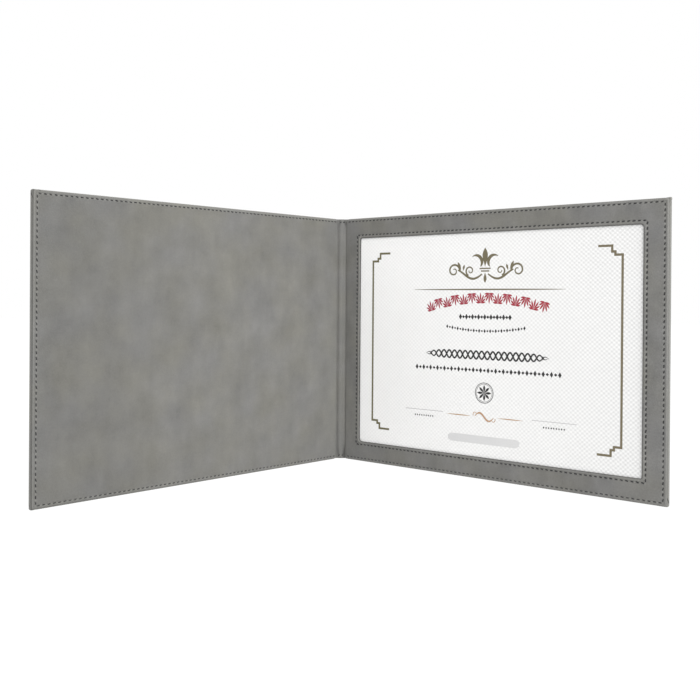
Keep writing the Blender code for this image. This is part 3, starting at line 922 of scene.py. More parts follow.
@dataclass(frozen=True)
class Lining(Sheet):
    """Inside leatherette from a panel across its crease to the middle of the spine.

    Its section drops down the board's edge, follows the groove's floor over the crease and climbs on to
    the spine's band. Towards head and tail a second, pinched section takes over, in which the band is
    narrower and lower, so that the creases run together like a V.
    """

    pattern: ClassVar[str] = "{}_inside"
    crease_reach: ClassVar[float] = 0.75
    lip: float = 0.16
    swell: float = 0.3
    rim_dip: float = 0.32
    rim_run: float = 0.4
    head_pinch: float = 9.0
    tail_pinch: float = 16.0
    full_pinch: float = 3.0
    tongue_ends: float = 13.0
    # The first of these three is painted light on the rear lining; the other two are painted shade.
    rear_wear: float = 0.65
    band_shade: float = 0.5
    fore_shade: float = 0.19
    pinched: Section = Section(1.4, 3.9, 2.3, 0.6, CREASE_FACE, 0.3)
    plain_front: Section = Section(BAND_FACE, 2.9, 1.1, 1.4, 0.8, 0.2)
    plain_rear: Section = Section(BAND_FACE, 4.3, 3.1, 0.35, 2.0, 1.5)
    insets: tuple[float, ...] = (
        0.9, 1.05, 1.3, 1.7, 2.1, 2.45, 2.68, 2.9, 3.1, 3.3, 3.5, 3.75, 3.98, 4.2, 4.42, 4.65, 4.9, 5.3,
        6.0, 7.0, 8.5, 10.0, 12.0, 14.0, 17.0, 22.0, 40.0, 80.0, 120.0,
    )

    def is_front(self) -> bool:
        """Whether this is the plain half's lining."""
        return self.half.name == "front"

    def heights(self) -> Array:
        """Heights of the rows from tail to head, as a column."""
        inset = np.array(self.insets)
        return np.concatenate((inset, PANEL_HEIGHT - inset[-2::-1]))[:, None]

    def section(self, form: Section) -> Array:
        """Level line of the face, from the panel to the middle of the spine.

        The floors on panel and spine meet on the bisector of the fold.

        Args:
            form: sizes of the section.

        Returns:
            The line's points in metres.
        """
        panel, spine = self.half.panel, self.half.spine
        if self.is_front():
            drop, start, level, ease = 3.2, PLAIN_START, LINING_FACE, 0.75
        else:
            drop, start, level, ease = 2.5, FLAP_START, FLAP_FACE, 0.04
        on_band = np.linspace(form.edge + form.reach + 0.1, MID_SPINE, 3)
        return rounded_section(
            [
                (panel.spot(start, level), 0.0),
                (panel.spot(drop, level), ease),
                (panel.spot(drop, form.floor), 0.5 * (FLAP_FACE - form.floor)),
                (panel.spot(form.floor * tan(FOLD / 2), form.floor), form.turn),
                (spine.spot(form.foot, form.floor), 0.25),
                (spine.spot(form.edge, form.top), form.reach),
                *((spine.spot(u, form.top), 0.0) for u in on_band),
            ]
        )

    def edge_height(self, inset: Array) -> Array:
        """Height along the outer edges: the cut rim dips, and a lip swells between rim and seam.

        Args:
            inset: distances from the panel's edges.

        Returns:
            The heights.
        """
        away = inset - LINING_INSET
        dip = -self.rim_dip * decay(away, self.rim_run)
        return dip + self.lip * hump(away / (LIP_END - LINING_INSET))

    def strip(self, surface: Surface) -> None:
        """Add the part that crosses the crease.

        Each row is a mix of the plain and the pinched section, and is raised along its own normal by the
        height of its edges and of the seams. The tail's pinch reaches further than the head's.

        Args:
            surface: where the strip is added.
        """
        panel, spine = self.half.panel, self.half.spine
        z = self.heights()
        reach = np.where(z > MID_HEIGHT, self.head_pinch, self.tail_pinch)
        pinch = smooth((reach - from_ends(z)) / (reach - self.full_pinch))
        plain = self.section(self.plain_front if self.is_front() else self.plain_rear)
        share = pinch[..., None]
        rows = plain[None] * (1.0 - share) + self.section(self.pinched)[None] * share
        tangent = np.gradient(rows, axis=1)
        normal = unit(pairs(-tangent[..., 1], tangent[..., 0]))
        if normal[0, 0] @ np.array(panel.inward) < 0.0:
            normal = -normal
        normal[:, 0], normal[:, -1] = panel.inward, spine.inward
        on_panel, on_spine = panel.read(rows), spine.read(rows)
        seams = [(EDGE_SEAM, on_panel)] if self.is_front() else []
        relief = pressed([*seams, *((seam, on_spine) for seam in SPINE_SEAMS)], z)
        # Painted light beside the crease: on the front lining it fades upwards and away, on the rear lining
        # it covers its panel side.
        relief.rub(hinge_painted_light(on_panel, z) if self.is_front() else self.rear_wear * smooth(on_panel + 0.3))
        # Painted shade in the creases where the band is pinched near head and tail.
        relief.darken(self.band_shade * pinch * bell(on_spine - BAND_EDGE - 1.3 * pinch, 0.9))
        height = relief.height + self.edge_height(from_ends(z))
        raised = rows + normal * height[..., None] * MM
        upright = np.broadcast_to(MM * z[..., None], (*height.shape, 1))
        flat = pairs(panel.read(plain[:1]) - travelled(plain) / MM, z)
        inwards = (*np.add(panel.inward, spine.inward), 0.0)
        surface.add(np.concatenate((raised, upright), axis=-1), flat, relief, inwards)

    def face(self, surface: Surface) -> None:
        """Add the plain sheet over the front panel, with its seam and its soft edge.

        Outside the seam its lip is painted lighter as a highlight, less so towards the tail. Beside the
        crease it is painted lighter against its shade, and towards the fore edge it is painted darker as
        shade.

        Args:
            surface: where the sheet is added.
        """
        inset = np.array(self.insets)
        u, z = ForePath(radius=2.2).lines(inset)
        relief = EDGE_SEAM.press(u, z)
        # Painted highlight on the lip outside the seam, stronger towards the head.
        relief.rub((0.25 + 0.3 * z / PANEL_HEIGHT) * bell(inset[:, None] - 1.5, 1.3))
        # Painted light beside the crease, against its shade.
        relief.rub(hinge_painted_light(u, z))
        # Painted shade, darker towards the fore edge.
        relief.darken(self.fore_shade * smooth((u - 150.0) / 160.0))
        height = relief.height + self.edge_height(inset)[:, None] + self.swell * corner_swell(u, z)
        self.lay(surface, u, LINING_FACE + height, z, pairs(u, z), relief)

    def tongue(self, surface: Surface) -> None:
        """Add the rear lining's end, which slips under the frame within the pocket's height.

        Args:
            surface: where the tongue is added.
        """
        z = self.heights()
        down = from_ends(z)
        deep = smooth((down - self.tongue_ends) * 10.0)
        share = np.linspace(0.0, 1.0, 6)[None, :]
        u = FLAP_START + (FLAP_END - FLAP_START) * share * deep + 0.15 * share
        self.lay(surface, u, FLAP_FACE + self.edge_height(down), z, pairs(u, z), Relief())

    def fill(self, surface: Surface) -> None:
        """Add the plain sheet or the tongue, and the strip that bends.

        Args:
            surface: where they are added.
        """
        if self.is_front():
            self.face(surface)
        else:
            self.tongue(surface)
        self.strip(surface)


@dataclass(frozen=True)
class WindowFrame(Sheet):
    """Leatherette frame of the rear panel: a ring of closed loops from its outer rim to the window.

    The outer loops keep their distance from the frame's outline and the inner ones from the window.
    """

    pattern: ClassVar[str] = "leatherette_frame"
    layer: ClassVar[float] = FRAME_LAYER
    roll: float = 0.36
    lip: float = 0.16
    swell: float = 0.3
    rim_dip: float = 0.15
    window_dip: float = 0.28
    dip_run: float = 0.3
    taper: float = 0.26
    taper_run: float = 2.4
    # These two: painted light on the frame's free edge, and darkening at the window's edge, a dyed edge and
    # partly painted shade.
    free_edge_wear: float = 0.6
    window_shade: float = 0.8
    corner_radius: float = 1.6
    far_from_window: float = 9.0
    steps: tuple[int, ...] = (345, 262, 345, 262)
    outer: tuple[float, ...] = (
        0.0, 0.15, 0.4, 0.8, 1.2, 1.55, 1.8, 2.0, 2.2, 2.4, 2.6, 2.85, 3.08, 3.3, 3.52, 3.75, 4.1, 5.0,
    )
    inner: tuple[float, ...] = (
        6.0, 4.6, 4.1, 3.8, 3.6, 3.4, 3.2, 3.0, 2.8, 2.5, 2.0, 1.4, 0.95, 0.65, 0.3, 0.1, 0.0,
    )

    def loops(self) -> tuple[Array, Array]:
        """Places of every loop: a rectangle with a quarter turn at each corner, closed on itself.

        Returns:
            Arrays of u and z with a row for each loop.
        """
        outer, inner = np.array(self.outer), np.array(self.inner)
        low_u = np.concatenate((FRAME_START + outer, WINDOW[0] - inner))
        high_u = np.concatenate((PANEL_WIDTH - FRAME_RIM - outer, WINDOW[1] + inner))
        low_z = np.concatenate((FRAME_RIM + outer, WINDOW[2] - inner))
        high_z = np.concatenate((PANEL_HEIGHT - FRAME_RIM - outer, WINDOW[3] + inner))
        turn = np.linspace(0.0, pi / 2, 8)
        fore, start = (high_u, -1.0), (low_u, 1.0)
        head, tail = (high_z, -1.0), (low_z, 1.0)
        arcs = []
        for quarter, corner in enumerate(((fore, tail), (fore, head), (start, head), (start, tail))):
            (side, way_u), (end, way_z) = corner
            outer_radius = np.maximum(self.corner_radius - outer, 0.0)
            radius = np.concatenate((outer_radius, WINDOW_RADII[quarter] + 0.6 * inner))[:, None]
            angle = turn + (quarter - 1) * pi / 2
            arc_u = side[:, None] + way_u * radius + radius * np.cos(angle)
            arc_z = end[:, None] + way_z * radius + radius * np.sin(angle)
            arcs.append(np.stack((arc_u, arc_z)))
        runs = []
        for before, arc, count in zip((arcs[-1], *arcs), arcs, self.steps):
            share = np.linspace(0.0, 1.0, count)[None, None, :]
            runs += [before[:, :, -1:] * (1.0 - share) + arc[:, :, :1] * share, arc[:, :, 1:-1]]
        u, z = np.concatenate((*runs, runs[0][:, :, :1]), axis=2)
        return u, z

    def relief(self, u: Array, z: Array, away: Array) -> Relief:
        """Relief of the frame's face.

        Both seams press it. The outer rim dips behind a swollen lip, the free edge tapers, and a soft
        roll lies between the window's seam and its cut edge, which dips too and is darkened: dyed at the
        edge, and partly painted shade. Lip and roll are painted lighter as highlights, and the free edge
        and the lower part by the spine are painted lighter against their shade.

        Args:
            u: places along the plan.
            z: heights.
            away: distances from the window.

        Returns:
            The relief over the frame's face.
        """
        relief = pressed(((EDGE_SEAM, u), (WINDOW_SEAM, u)), z)
        fore = np.minimum(from_ends(z), PANEL_WIDTH - u)
        from_free_edge = u - FRAME_START
        rim = -self.rim_dip * decay(np.minimum(fore - FRAME_RIM, from_free_edge), self.dip_run)
        taper = -self.taper * decay(from_free_edge, self.taper_run)
        lip = self.lip * hump((fore - FRAME_RIM) / (LIP_END - FRAME_RIM))
        roll = self.roll * hump((away - 0.2) / 2.9)
        dip = -self.window_dip * decay(away, self.dip_run)
        relief.height += rim + taper + lip + roll + dip + self.swell * corner_swell(u, z)
        towards_spine = smooth((WINDOW[0] + 2.0 - u) / 2.0)
        # Painted highlight on the lip along the outer rim, growing towards the head and stronger at the
        # fore edge.
        lip_highlight = (0.3 + 0.3 * z / PANEL_HEIGHT) * (1.0 + 1.2 * (PANEL_WIDTH - u < LIP_END))
        # Painted highlight on the roll beside the window, much stronger on the spine side.
        relief.rub((0.35 + 0.95 * towards_spine) * bell(away - 1.45, 0.6))
        relief.rub(lip_highlight * bell(fore - 1.2, 0.9))
        # Painted light on the free edge by the spine, against its shade.
        relief.rub(self.free_edge_wear * bell(from_free_edge, 0.9))
        # Painted light on the lower part by the spine, against its shade.
        relief.rub(0.3 * smooth((120.0 - z) / 100.0) * smooth((22.0 - u) / 20.0))
        # Darkening at the window's edge: its dyed edge, and partly painted shade.
        relief.darken(self.window_shade * smooth((0.7 - away) / 0.3))
        return relief

    def fill(self, surface: Surface) -> None:
        """Add the ring.

        Args:
            surface: where it is added.
        """
        u, z = self.loops()
        away = np.concatenate((np.full(len(self.outer), self.far_from_window), self.inner))[:, None]
        relief = self.relief(u, z, away)
        self.lay(surface, u, FRAME_FACE + relief.height, z, pairs(u, z), relief)


@dataclass(frozen=True)
class Stitching:
    """All stitches of a set of seams that one body carries on one side."""

    name: str
    plan: Plan
    body: str
    level: float
    face: Face
    seams: tuple[Seam, ...]

    def build(self, thread: Material) -> Object:
        """Build the stitches as one piece, sunk a little under the face that they lie on.

        Args:
            thread: finish of the thread.

        Returns:
            The finished piece.
        """
        surface = Surface()
        for seam in self.seams:
            surface.add(*seam.lay(self.plan, self.level - self.face.value * STITCH_DEPTH, self.face))
        item = surface.build(self.name, (thread,), solid=True)
        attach(item, self.body)
        return item


def make_stitching(rear: Half, front: Half) -> list[tuple[Stitching, tuple[str, ...]]]:
    """The stitching of every seam, inside and outside.

    Args:
        rear: the half with the frame.
        front: the plain half.

    Returns:
        One entry for each carrier and side, with the nodes that it replaces.
    """
    found = []
    for half, level in ((front, LINING_FACE), (rear, FRAME_FACE)):
        for kind, face, height in (("edge", Face.INSIDE, level), ("bobbin", Face.OUTSIDE, OUTER_FACE)):
            name = f"{half.name}_{kind}_stitches"
            node = f"{half.name}_edge_{'bobbin_' if kind == 'bobbin' else ''}stitching"
            found.append((Stitching(name, half.panel, half.body, height, face, (EDGE_SEAM,)), (node,)))
    window = Stitching("window_stitches", rear.panel, rear.body, FRAME_FACE, Face.INSIDE, (WINDOW_SEAM,))
    found.append((window, ("window_stitching",)))
    for kind, face, height in (("", Face.INSIDE, SPINE_SEAM_FACE), ("bobbin_", Face.OUTSIDE, OUTER_FACE)):
        crossing = Stitching(f"spine_{kind}stitches", rear.spine, "spine", height, face, SPINE_SEAMS)
        found.append((crossing, (f"spine_tail_{kind}stitching", f"spine_head_{kind}stitching")))
    return found


class Ink(Enum):
    """Colour groups of the print, from the lowest layer to the highest."""

    GOLD = "gold"
    RED = "red"
    GREY = "grey"
    BLACK = "black"
    RUST = "rust"
    PLATE = "plate"


@dataclass(frozen=True)
class Stroke:
    """A flat inked line: its places on the sheet and its width at each of them."""

    places: Array
    widths: Array

    def mirrored(self, axis: float) -> "Stroke":
        """The stroke's mirror image about an upright axis."""
        return Stroke(pairs(2 * axis - self.places[:, 0], self.places[:, 1]), self.widths)

    def ribbon(self, plan: Plan, low: float, high: float) -> tuple[Array, Array]:
        """The stroke as a closed ribbon.

        Its rectangular section is carried along the line, widened at bends as a mitre is, and drawn
        together to a point at each end.

        Args:
            plan: plan of the panel.
            low: level of its underside.
            high: level of its face.

        Returns:
            Points in metres and flat places in millimetres.
        """
        steps = unit(np.diff(self.places, axis=0))
        after = np.concatenate((steps, steps[-1:]))
        along = np.concatenate((steps[:1], steps)) + after
        along /= np.maximum(np.linalg.norm(along, axis=1, keepdims=True), 1e-9)
        spread = 1.0 / np.maximum((along * after).sum(axis=1), 0.5)
        side = pairs(-along[:, 1], along[:, 0]) * (self.widths * spread / 2)[:, None]
        left, right = self.places + side, self.places - side
        ends = np.repeat(self.places[[0, -1], None], 5, axis=1)
        outline = np.concatenate((ends[:1], np.stack((left, right, right, left, left), axis=1), ends[1:]))
        levels = np.broadcast_to((low, low, high, high, low), outline.shape[:2]).copy()
        levels[[0, -1]] = (low + high) / 2
        return plan.place(outline[..., 0], levels, outline[..., 1]), outline


def even(points: Sequence[Point], width: float) -> Stroke:
    """A line of even width through some points."""
    return Stroke(np.array(points, float), np.full(len(points), width))


def tapered(low: float, high: float, z: float, width: float, ease: float, count: int = 24) -> Stroke:
    """A level rule whose width is a sine to a power, so that both its ends run out to a point."""
    t = np.linspace(0.0, 1.0, count)
    return Stroke(pairs(low * (1 - t) + high * t, z), width * np.sin(pi * t) ** ease + 0.02)


def around(centre: Point, reach: Places, angle: Places) -> Array:
    """Places round a centre, each at its own distance and angle."""
    return pairs(centre[0] + reach * np.cos(angle), centre[1] + reach * np.sin(angle))


def spiral(centre: Point, radius: float, turns: float, start: float, width: float) -> Stroke:
    """A scroll that winds inwards: its radius shrinks evenly to a fifth while its angle grows.

    Args:
        centre: its middle.
        radius: radius where it starts.
        turns: how often it goes round, less than 0 for clockwise.
        start: angle where it starts.
        width: width where it starts.

    Returns:
        The scroll.
    """
    t = np.linspace(0.0, 1.0, 40)
    places = around(centre, radius * (1.0 - 0.8 * t), start + 2 * pi * turns * t)
    return Stroke(places, width * (1.0 - 0.55 * t))


def leaf(foot: Point, angle: float, length: float, width: float) -> Stroke:
    """A leaf: a straight spine whose width is a sine, fuller towards its tip."""
    t = np.linspace(0.0, 1.0, 14)
    return Stroke(around(foot, length * t, angle), width * np.sin(pi * t**1.35) + 0.02)


def dart(middle: Point, length: float, width: float) -> Stroke:
    """A slender upright lozenge round a middle."""
    share = np.array((-0.5, -0.25, 0.0, 0.25, 0.5))
    return Stroke(pairs(middle[0], middle[1] + share * length), width * (1.0 - 2.0 * np.abs(share)) + 0.02)


@dataclass(frozen=True)
class Print:
    """The generic print of the certificate: a stepped border, scrollwork, a band, rules and a plate."""

    half: Half
    centre: float = 159.4
    thickness: float = 0.02
    layer: float = 0.004
    step: float = 0.0004
    sunk: float = 0.01
    border: tuple[float, float, float, float] = (35.1, 284.4, 42.0, 196.8)
    braid: Point = (62.0, 110.5)
    flourish: float = 55.6
    strokes: dict[Ink, list[Stroke]] = field(default_factory=lambda: {ink: [] for ink in Ink})

    def corner(self, right: bool, head: bool) -> list[Point]:
        """Steps of one corner of the border, from its upright inwards.

        Args:
            right: whether it is on the fore edge's side.
            head: whether it is at the head.

        Returns:
            The steps' places.
        """
        u, across = (self.border[1], -1.0) if right else (self.border[0], 1.0)
        z, up = (self.border[3], 1.0) if head else (self.border[2], -1.0)
        steps = ((0.0, 0.0), (6.0, 0.0), (6.0, 2.6), (8.7, 2.6), (8.7, 7.4), (20.4, 7.4))
        return [(u + across * a, z + up * b) for a, b in steps]

    def draw_border(self) -> None:
        """Two uprights, each with stepped ends that turn inwards."""
        for right in (False, True):
            places = [*self.corner(right, False)[::-1], *self.corner(right, True)]
            self.strokes[Ink.GOLD].append(even(places, 1.95))

    def draw_crest(self) -> None:
        """A tall bud between two curled petals on a double bar, with pairs of scrolls on a waved stem."""
        middle = self.centre
        gold = self.strokes[Ink.GOLD]
        gold.append(leaf((middle, 189.0), radians(90), 17.5, 5.4))
        gold.append(leaf((middle, 184.5), radians(-90), 9.5, 3.0))
        for height, reach in ((187.9, 5.6), (185.6, 4.2)):
            gold.append(even([(middle - reach, height), (middle + reach, height)], 1.2))
        t = np.linspace(0.0, 1.0, 40)
        stem = pairs(middle - 3.0 - 25.0 * t, 183.0 - 4.2 * np.sin(pi * 1.35 * t))
        petal = around((middle - 9.4, 193.6), 6.2, radians(-40.0) + radians(165.0) * t)
        side = [
            Stroke(stem, 1.2 + 0.8 * np.sin(pi * t)),
            Stroke(petal, 0.5 + 2.6 * np.sin(pi * t**0.8)),
            spiral((middle - 32.2, 186.2), 6.4, 1.35, -0.15, 1.9),
            spiral((middle - 15.4, 186.0), 4.6, -1.25, -1.9, 1.6),
            leaf((middle - 24.5, 187.0), radians(118), 8.0, 2.3),
            leaf((middle - 22.8, 185.8), radians(75), 6.0, 2.0),
        ]
        gold.extend([*side, *(stroke.mirrored(middle) for stroke in side)])

    def draw_band(self) -> None:
        """A red frieze of palmettes along a flat arch, upright and hanging in turn, for a heading."""
        for index, t in enumerate(np.linspace(-1.0, 1.0, 14)):
            lean = 0.26 * t
            way = 1.0 if index % 2 == 0 else -1.0
            up = np.array((sin(lean), cos(lean)))
            foot = np.array((self.centre + 57.0 * t, 161.5 - 7.5 * t * t)) - 4.6 * way * up
            upright = pi / 2 * way - lean
            for spread, length in ((0.0, 9.6), (0.42, 8.4), (0.86, 6.8), (1.35, 5.0)):
                for hand in (-1.0, 1.0) if spread else (1.0,):
                    self.strokes[Ink.RED].append(leaf(tuple(foot), upright + hand * spread, length, 1.5))

    def draw_lines(self) -> None:
        """A braid and rows of dots where words would stand, and two rules to write on."""
        black = self.strokes[Ink.BLACK]
        for half_width, height, sag, size, count in (
            (25.0, 144.6, 0.0, 5.2, 17),
            (39.0, 135.5, 3.4, 3.6, 29),
            (72.0, 97.0, 0.0, 5.0, 39),
        ):
            for index, t in enumerate(np.linspace(-1.0, 1.0, count)):
                middle = (self.centre + half_width * t, height - sag * (1.0 - t * t))
                black.append(dart(middle, size * (0.55 if index % 2 else 1.0), 0.62 * size))
        reach, height = self.braid
        t = np.linspace(-1.0, 1.0, 181)
        for way in (-1.0, 1.0):
            wave = way * 3.5 * np.sin(5.5 * 2 * pi * t) * (1.0 - t**8)
            strand = pairs(self.centre + reach * t, height + wave)
            black.append(Stroke(strand, 1.5 * (1.0 - t**10) + 0.02))
        for share in np.linspace(-1.0, 1.0, 23)[1:-1:2]:
            black.append(dart((self.centre + reach * share, height), 3.6, 2.2))
        for low, high in ((74.9, 116.4), (205.9, 246.7)):
            self.strokes[Ink.GREY].append(even([(low, 57.0), (high, 57.0)], 0.5))
            for u in np.linspace(low + 11.0, high - 11.0, 9):
                black.append(dart((u, 51.8), 1.9, 1.4))

    def draw_rosette(self) -> None:
        """A rosette of eight petals in a ring, above a flourish between two tapered rules."""
        centre = (self.centre, 77.0)
        black, rust = self.strokes[Ink.BLACK], self.strokes[Ink.RUST]
        for radius, width in ((9.0, 0.55), (7.9, 0.3)):
            black.append(even(around(centre, radius, np.linspace(0.0, 2 * pi, 49)), width))
        black += [leaf(centre, radians(turn), 7.0, 2.1) for turn in range(0, 360, 45)]
        t = np.linspace(-1.0, 1.0, 60)
        for shift in (-0.55, 0.55):
            wave = self.flourish - 3.4 * np.sin(pi * t) + shift * (1 - t * t)
            rust.append(Stroke(pairs(self.centre + 9.6 * t, wave), 0.35 + 0.55 * (1 - t * t)))
        for side, start in ((-1.0, -2.6), (1.0, 0.54)):
            middle = (self.centre + 8.9 * side, self.flourish - 2.0 * side)
            rust.append(spiral(middle, 2.4, -0.9, start, 0.7))
        for low, high in ((120.7, 145.7), (173.0, 198.0)):
            rust.append(tapered(low, high, self.flourish, 0.9, 0.8))
        self.strokes[Ink.GOLD].append(tapered(82.8, 236.4, 169.2, 1.25, 0.5, 60))

    def draw_plate(self) -> None:
        """A bare grey plate with pointed ends."""
        places = pairs(np.array((122.0, 125.5, 190.9, 194.4)), 34.9)
        self.strokes[Ink.PLATE].append(Stroke(places, np.array((3.6, 7.2, 7.2, 3.6))))

    def build(self, inks: Mapping[Ink, Material]) -> list[Object]:
        """Draw everything and build one piece for each ink. Each stroke lies a hair over the one before.

        Args:
            inks: finish of each ink.

        Returns:
            The finished pieces.
        """
        self.draw_border()
        self.draw_crest()
        self.draw_band()
        self.draw_lines()
        self.draw_rosette()
        self.draw_plate()
        pieces = []
        for order, (ink, strokes) in enumerate(self.strokes.items()):
            surface = Surface()
            for index, stroke in enumerate(strokes):
                top = SHEET_FACE + self.thickness + self.step * (index + 1) + self.layer * order
                surface.add(*stroke.ribbon(self.half.panel, SHEET_FACE - self.sunk, top))
            item = surface.build(f"print_{ink.value}", (inks[ink],), solid=True)
            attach(item, "certificate")
            pieces.append(item)
        return pieces


class Value:
    """A shader socket that takes part in Python expressions."""

    def __init__(self, graph: "Graph", socket: Socket) -> None:
        """Keep the graph that the socket belongs to."""
        self.graph = graph
        self.socket = socket

    def __add__(self, other: "Value | float") -> "Value":
        """Sum."""
        return self.graph.math("ADD", self, other)

    __radd__ = __add__

    def __sub__(self, other: "Value | float") -> "Value":
        """Difference."""
        return self.graph.math("SUBTRACT", self, other)

    def __rsub__(self, other: float) -> "Value":
        """Difference with the number first."""
        return self.graph.math("SUBTRACT", other, self)

    def __mul__(self, other: "Value | float") -> "Value":
        """Product."""
        return self.graph.math("MULTIPLY", self, other)

    __rmul__ = __mul__

    def held(self) -> "Value":
        """The value held between 0 and 1."""
        return self.graph.math("ADD", self, 0.0, clamp=True)


class Graph:
    """Node tree of a material or a world, with the shader that it starts with."""

    def __init__(self, holder: Material | bpy.types.World, shader: str = "Principled BSDF") -> None:
        """Turn the holder's nodes on and find its shader.

        Args:
            holder: the material or world.
            shader: name of the shader's node.
        """
        holder.use_nodes = True
        self.tree = holder.node_tree
        self.shader = self.tree.nodes[shader]

    def node(
        self, kind: str, inputs: Mapping[str | int, object] | None = None, **settings: object
    ) -> bpy.types.Node:
        """Add a node, set it up, and give its sockets values or links.

        Args:
            kind: Blender's type of the node.
            inputs: a value, colour, Value or socket for each input, by identifier, name or number.
            settings: the node's own properties, which are set first.

        Returns:
            The node.
        """
        made = self.tree.nodes.new(kind)
        for name, setting in settings.items():
            setattr(made, name, setting)
        known = {socket.identifier: socket for socket in made.inputs}
        for key, given in (inputs or {}).items():
            self.feed(known[key] if key in known else made.inputs[key], given)
        return made

    def feed(self, socket: Socket, given: object) -> None:
        """Link a value or socket to an input, or set its constant.

        Args:
            socket: the input.
            given: a Value, a socket, a colour or a number.
        """
        if isinstance(given, Value):
            given = given.socket
        if isinstance(given, Socket):
            self.tree.links.new(given, socket)
        elif isinstance(given, tuple) and socket.type == "RGBA":
            socket.default_value = (*given, 1.0)
        else:
            socket.default_value = given

    def value(self, kind: str, output: str | int, inputs: object = None, **settings: object) -> Value:
        """One output of a new node as a value."""
        return Value(self, self.node(kind, inputs, **settings).outputs[output])

    def math(self, operation: str, *operands: Value | float, clamp: bool = False) -> Value:
        """A Math node on some operands."""
        inputs = dict(enumerate(operands))
        return self.value("ShaderNodeMath", 0, inputs, operation=operation, use_clamp=clamp)

    def flat(self) -> Socket:
        """Places on the flat sheet, in metres."""
        return self.node("ShaderNodeUVMap", uv_map="flat").outputs["UV"]

    def place(self) -> Socket:
        """Places in the frame, in metres."""
        return self.node("ShaderNodeTexCoord").outputs["Object"]

    def part(self, where: Socket, axis: str) -> Value:
        """One part of some coordinates."""
        return self.value("ShaderNodeSeparateXYZ", axis, {"Vector": where})

    def stretched(self, where: Socket, scale: Triple) -> Socket:
        """Coordinates scaled along each axis."""
        return self.node("ShaderNodeMapping", {"Vector": where, "Scale": scale}).outputs["Vector"]

    def noise(self, where: Socket, scale: float, detail: float = 2.0, rough: float = 0.5) -> Value:
        """Soft noise with features of about 1 / scale metres."""
        inputs = {"Vector": where, "Scale": scale, "Detail": detail, "Roughness": rough}
        return self.value("ShaderNodeTexNoise", "Fac", inputs)

    def mask(self, name: str) -> Value:
        """A mask that the mesh carries."""
        return self.value("ShaderNodeAttribute", "Fac", attribute_type="GEOMETRY", attribute_name=name)

    def blend(self, share: Value, first: object, second: object) -> Socket:
        """A mix of two colours.

        Args:
            share: 0 where only the first shows, 1 where only the second does.
            first: a colour or a socket.
            second: a colour or a socket.

        Returns:
            The mixed colour.
        """
        inputs = {"Factor_Float": share, "A_Color": first, "B_Color": second}
        made = self.node("ShaderNodeMix", inputs, data_type="RGBA")
        return next(out for out in made.outputs if out.identifier == "Result_Color")

    def colour(self, given: object) -> None:
        """Feed the base colour."""
        self.feed(self.shader.inputs["Base Color"], given)

    def roughness(self, given: Value | float) -> None:
        """Feed the roughness."""
        self.feed(self.shader.inputs["Roughness"], given)

    def bump(self, height: Value, distance: float, strength: float) -> None:
        """Raise the surface by a height field of that distance in metres."""
        inputs = {"Height": height, "Distance": distance, "Strength": strength}
        self.feed(self.shader.inputs["Normal"], self.node("ShaderNodeBump", inputs).outputs["Normal"])

    def ray(self, kind: str) -> Value:
        """1 for rays of one kind, else 0."""
        return self.value("ShaderNodeLightPath", f"Is {kind} Ray")

    def whiten(self, share: Value, glow: str, strength: float) -> None:
        """Swap the shader for an even white glow, as far as a share says.

        Args:
            share: 1 where only the glow shows.
            glow: Blender's type of the glowing shader.
            strength: how bright it is.
        """
        white = self.node(glow, {"Color": WHITE, "Strength": strength})
        mix = self.node("ShaderNodeMixShader", {0: share, 1: self.shader.outputs[0], 2: white.outputs[0]})
        output = next(node for node in self.tree.nodes if node.type.startswith("OUTPUT"))
        self.feed(output.inputs["Surface"], mix.outputs[0])


def shade(tone: Triple, factor: float) -> Triple:
    """A tone made lighter or darker by a factor."""
    return (tone[0] * factor, tone[1] * factor, tone[2] * factor)


@dataclass(frozen=True)
class Finish:
    """A finish: its name, its tone and the roughness that it starts with.

    Every kind of finish paints in its own way.
    """

    name: str
    tone: Triple
    rough: float = field(default=0.7, kw_only=True)

    def make(self) -> Material:
        """Make the finish.

        Returns:
            The material.
        """
        material = bpy.data.materials.new(self.name)
        graph = Graph(material)
        graph.roughness(self.rough)
        self.paint(graph)
        return material

    def paint(self, graph: Graph) -> None:
        """Feed the shader of a node tree."""
        raise NotImplementedError

    def shades(self, low: float, high: float) -> tuple[Triple, Triple]:
        """A darker and a lighter shade of the tone."""
        return shade(self.tone, low), shade(self.tone, high)


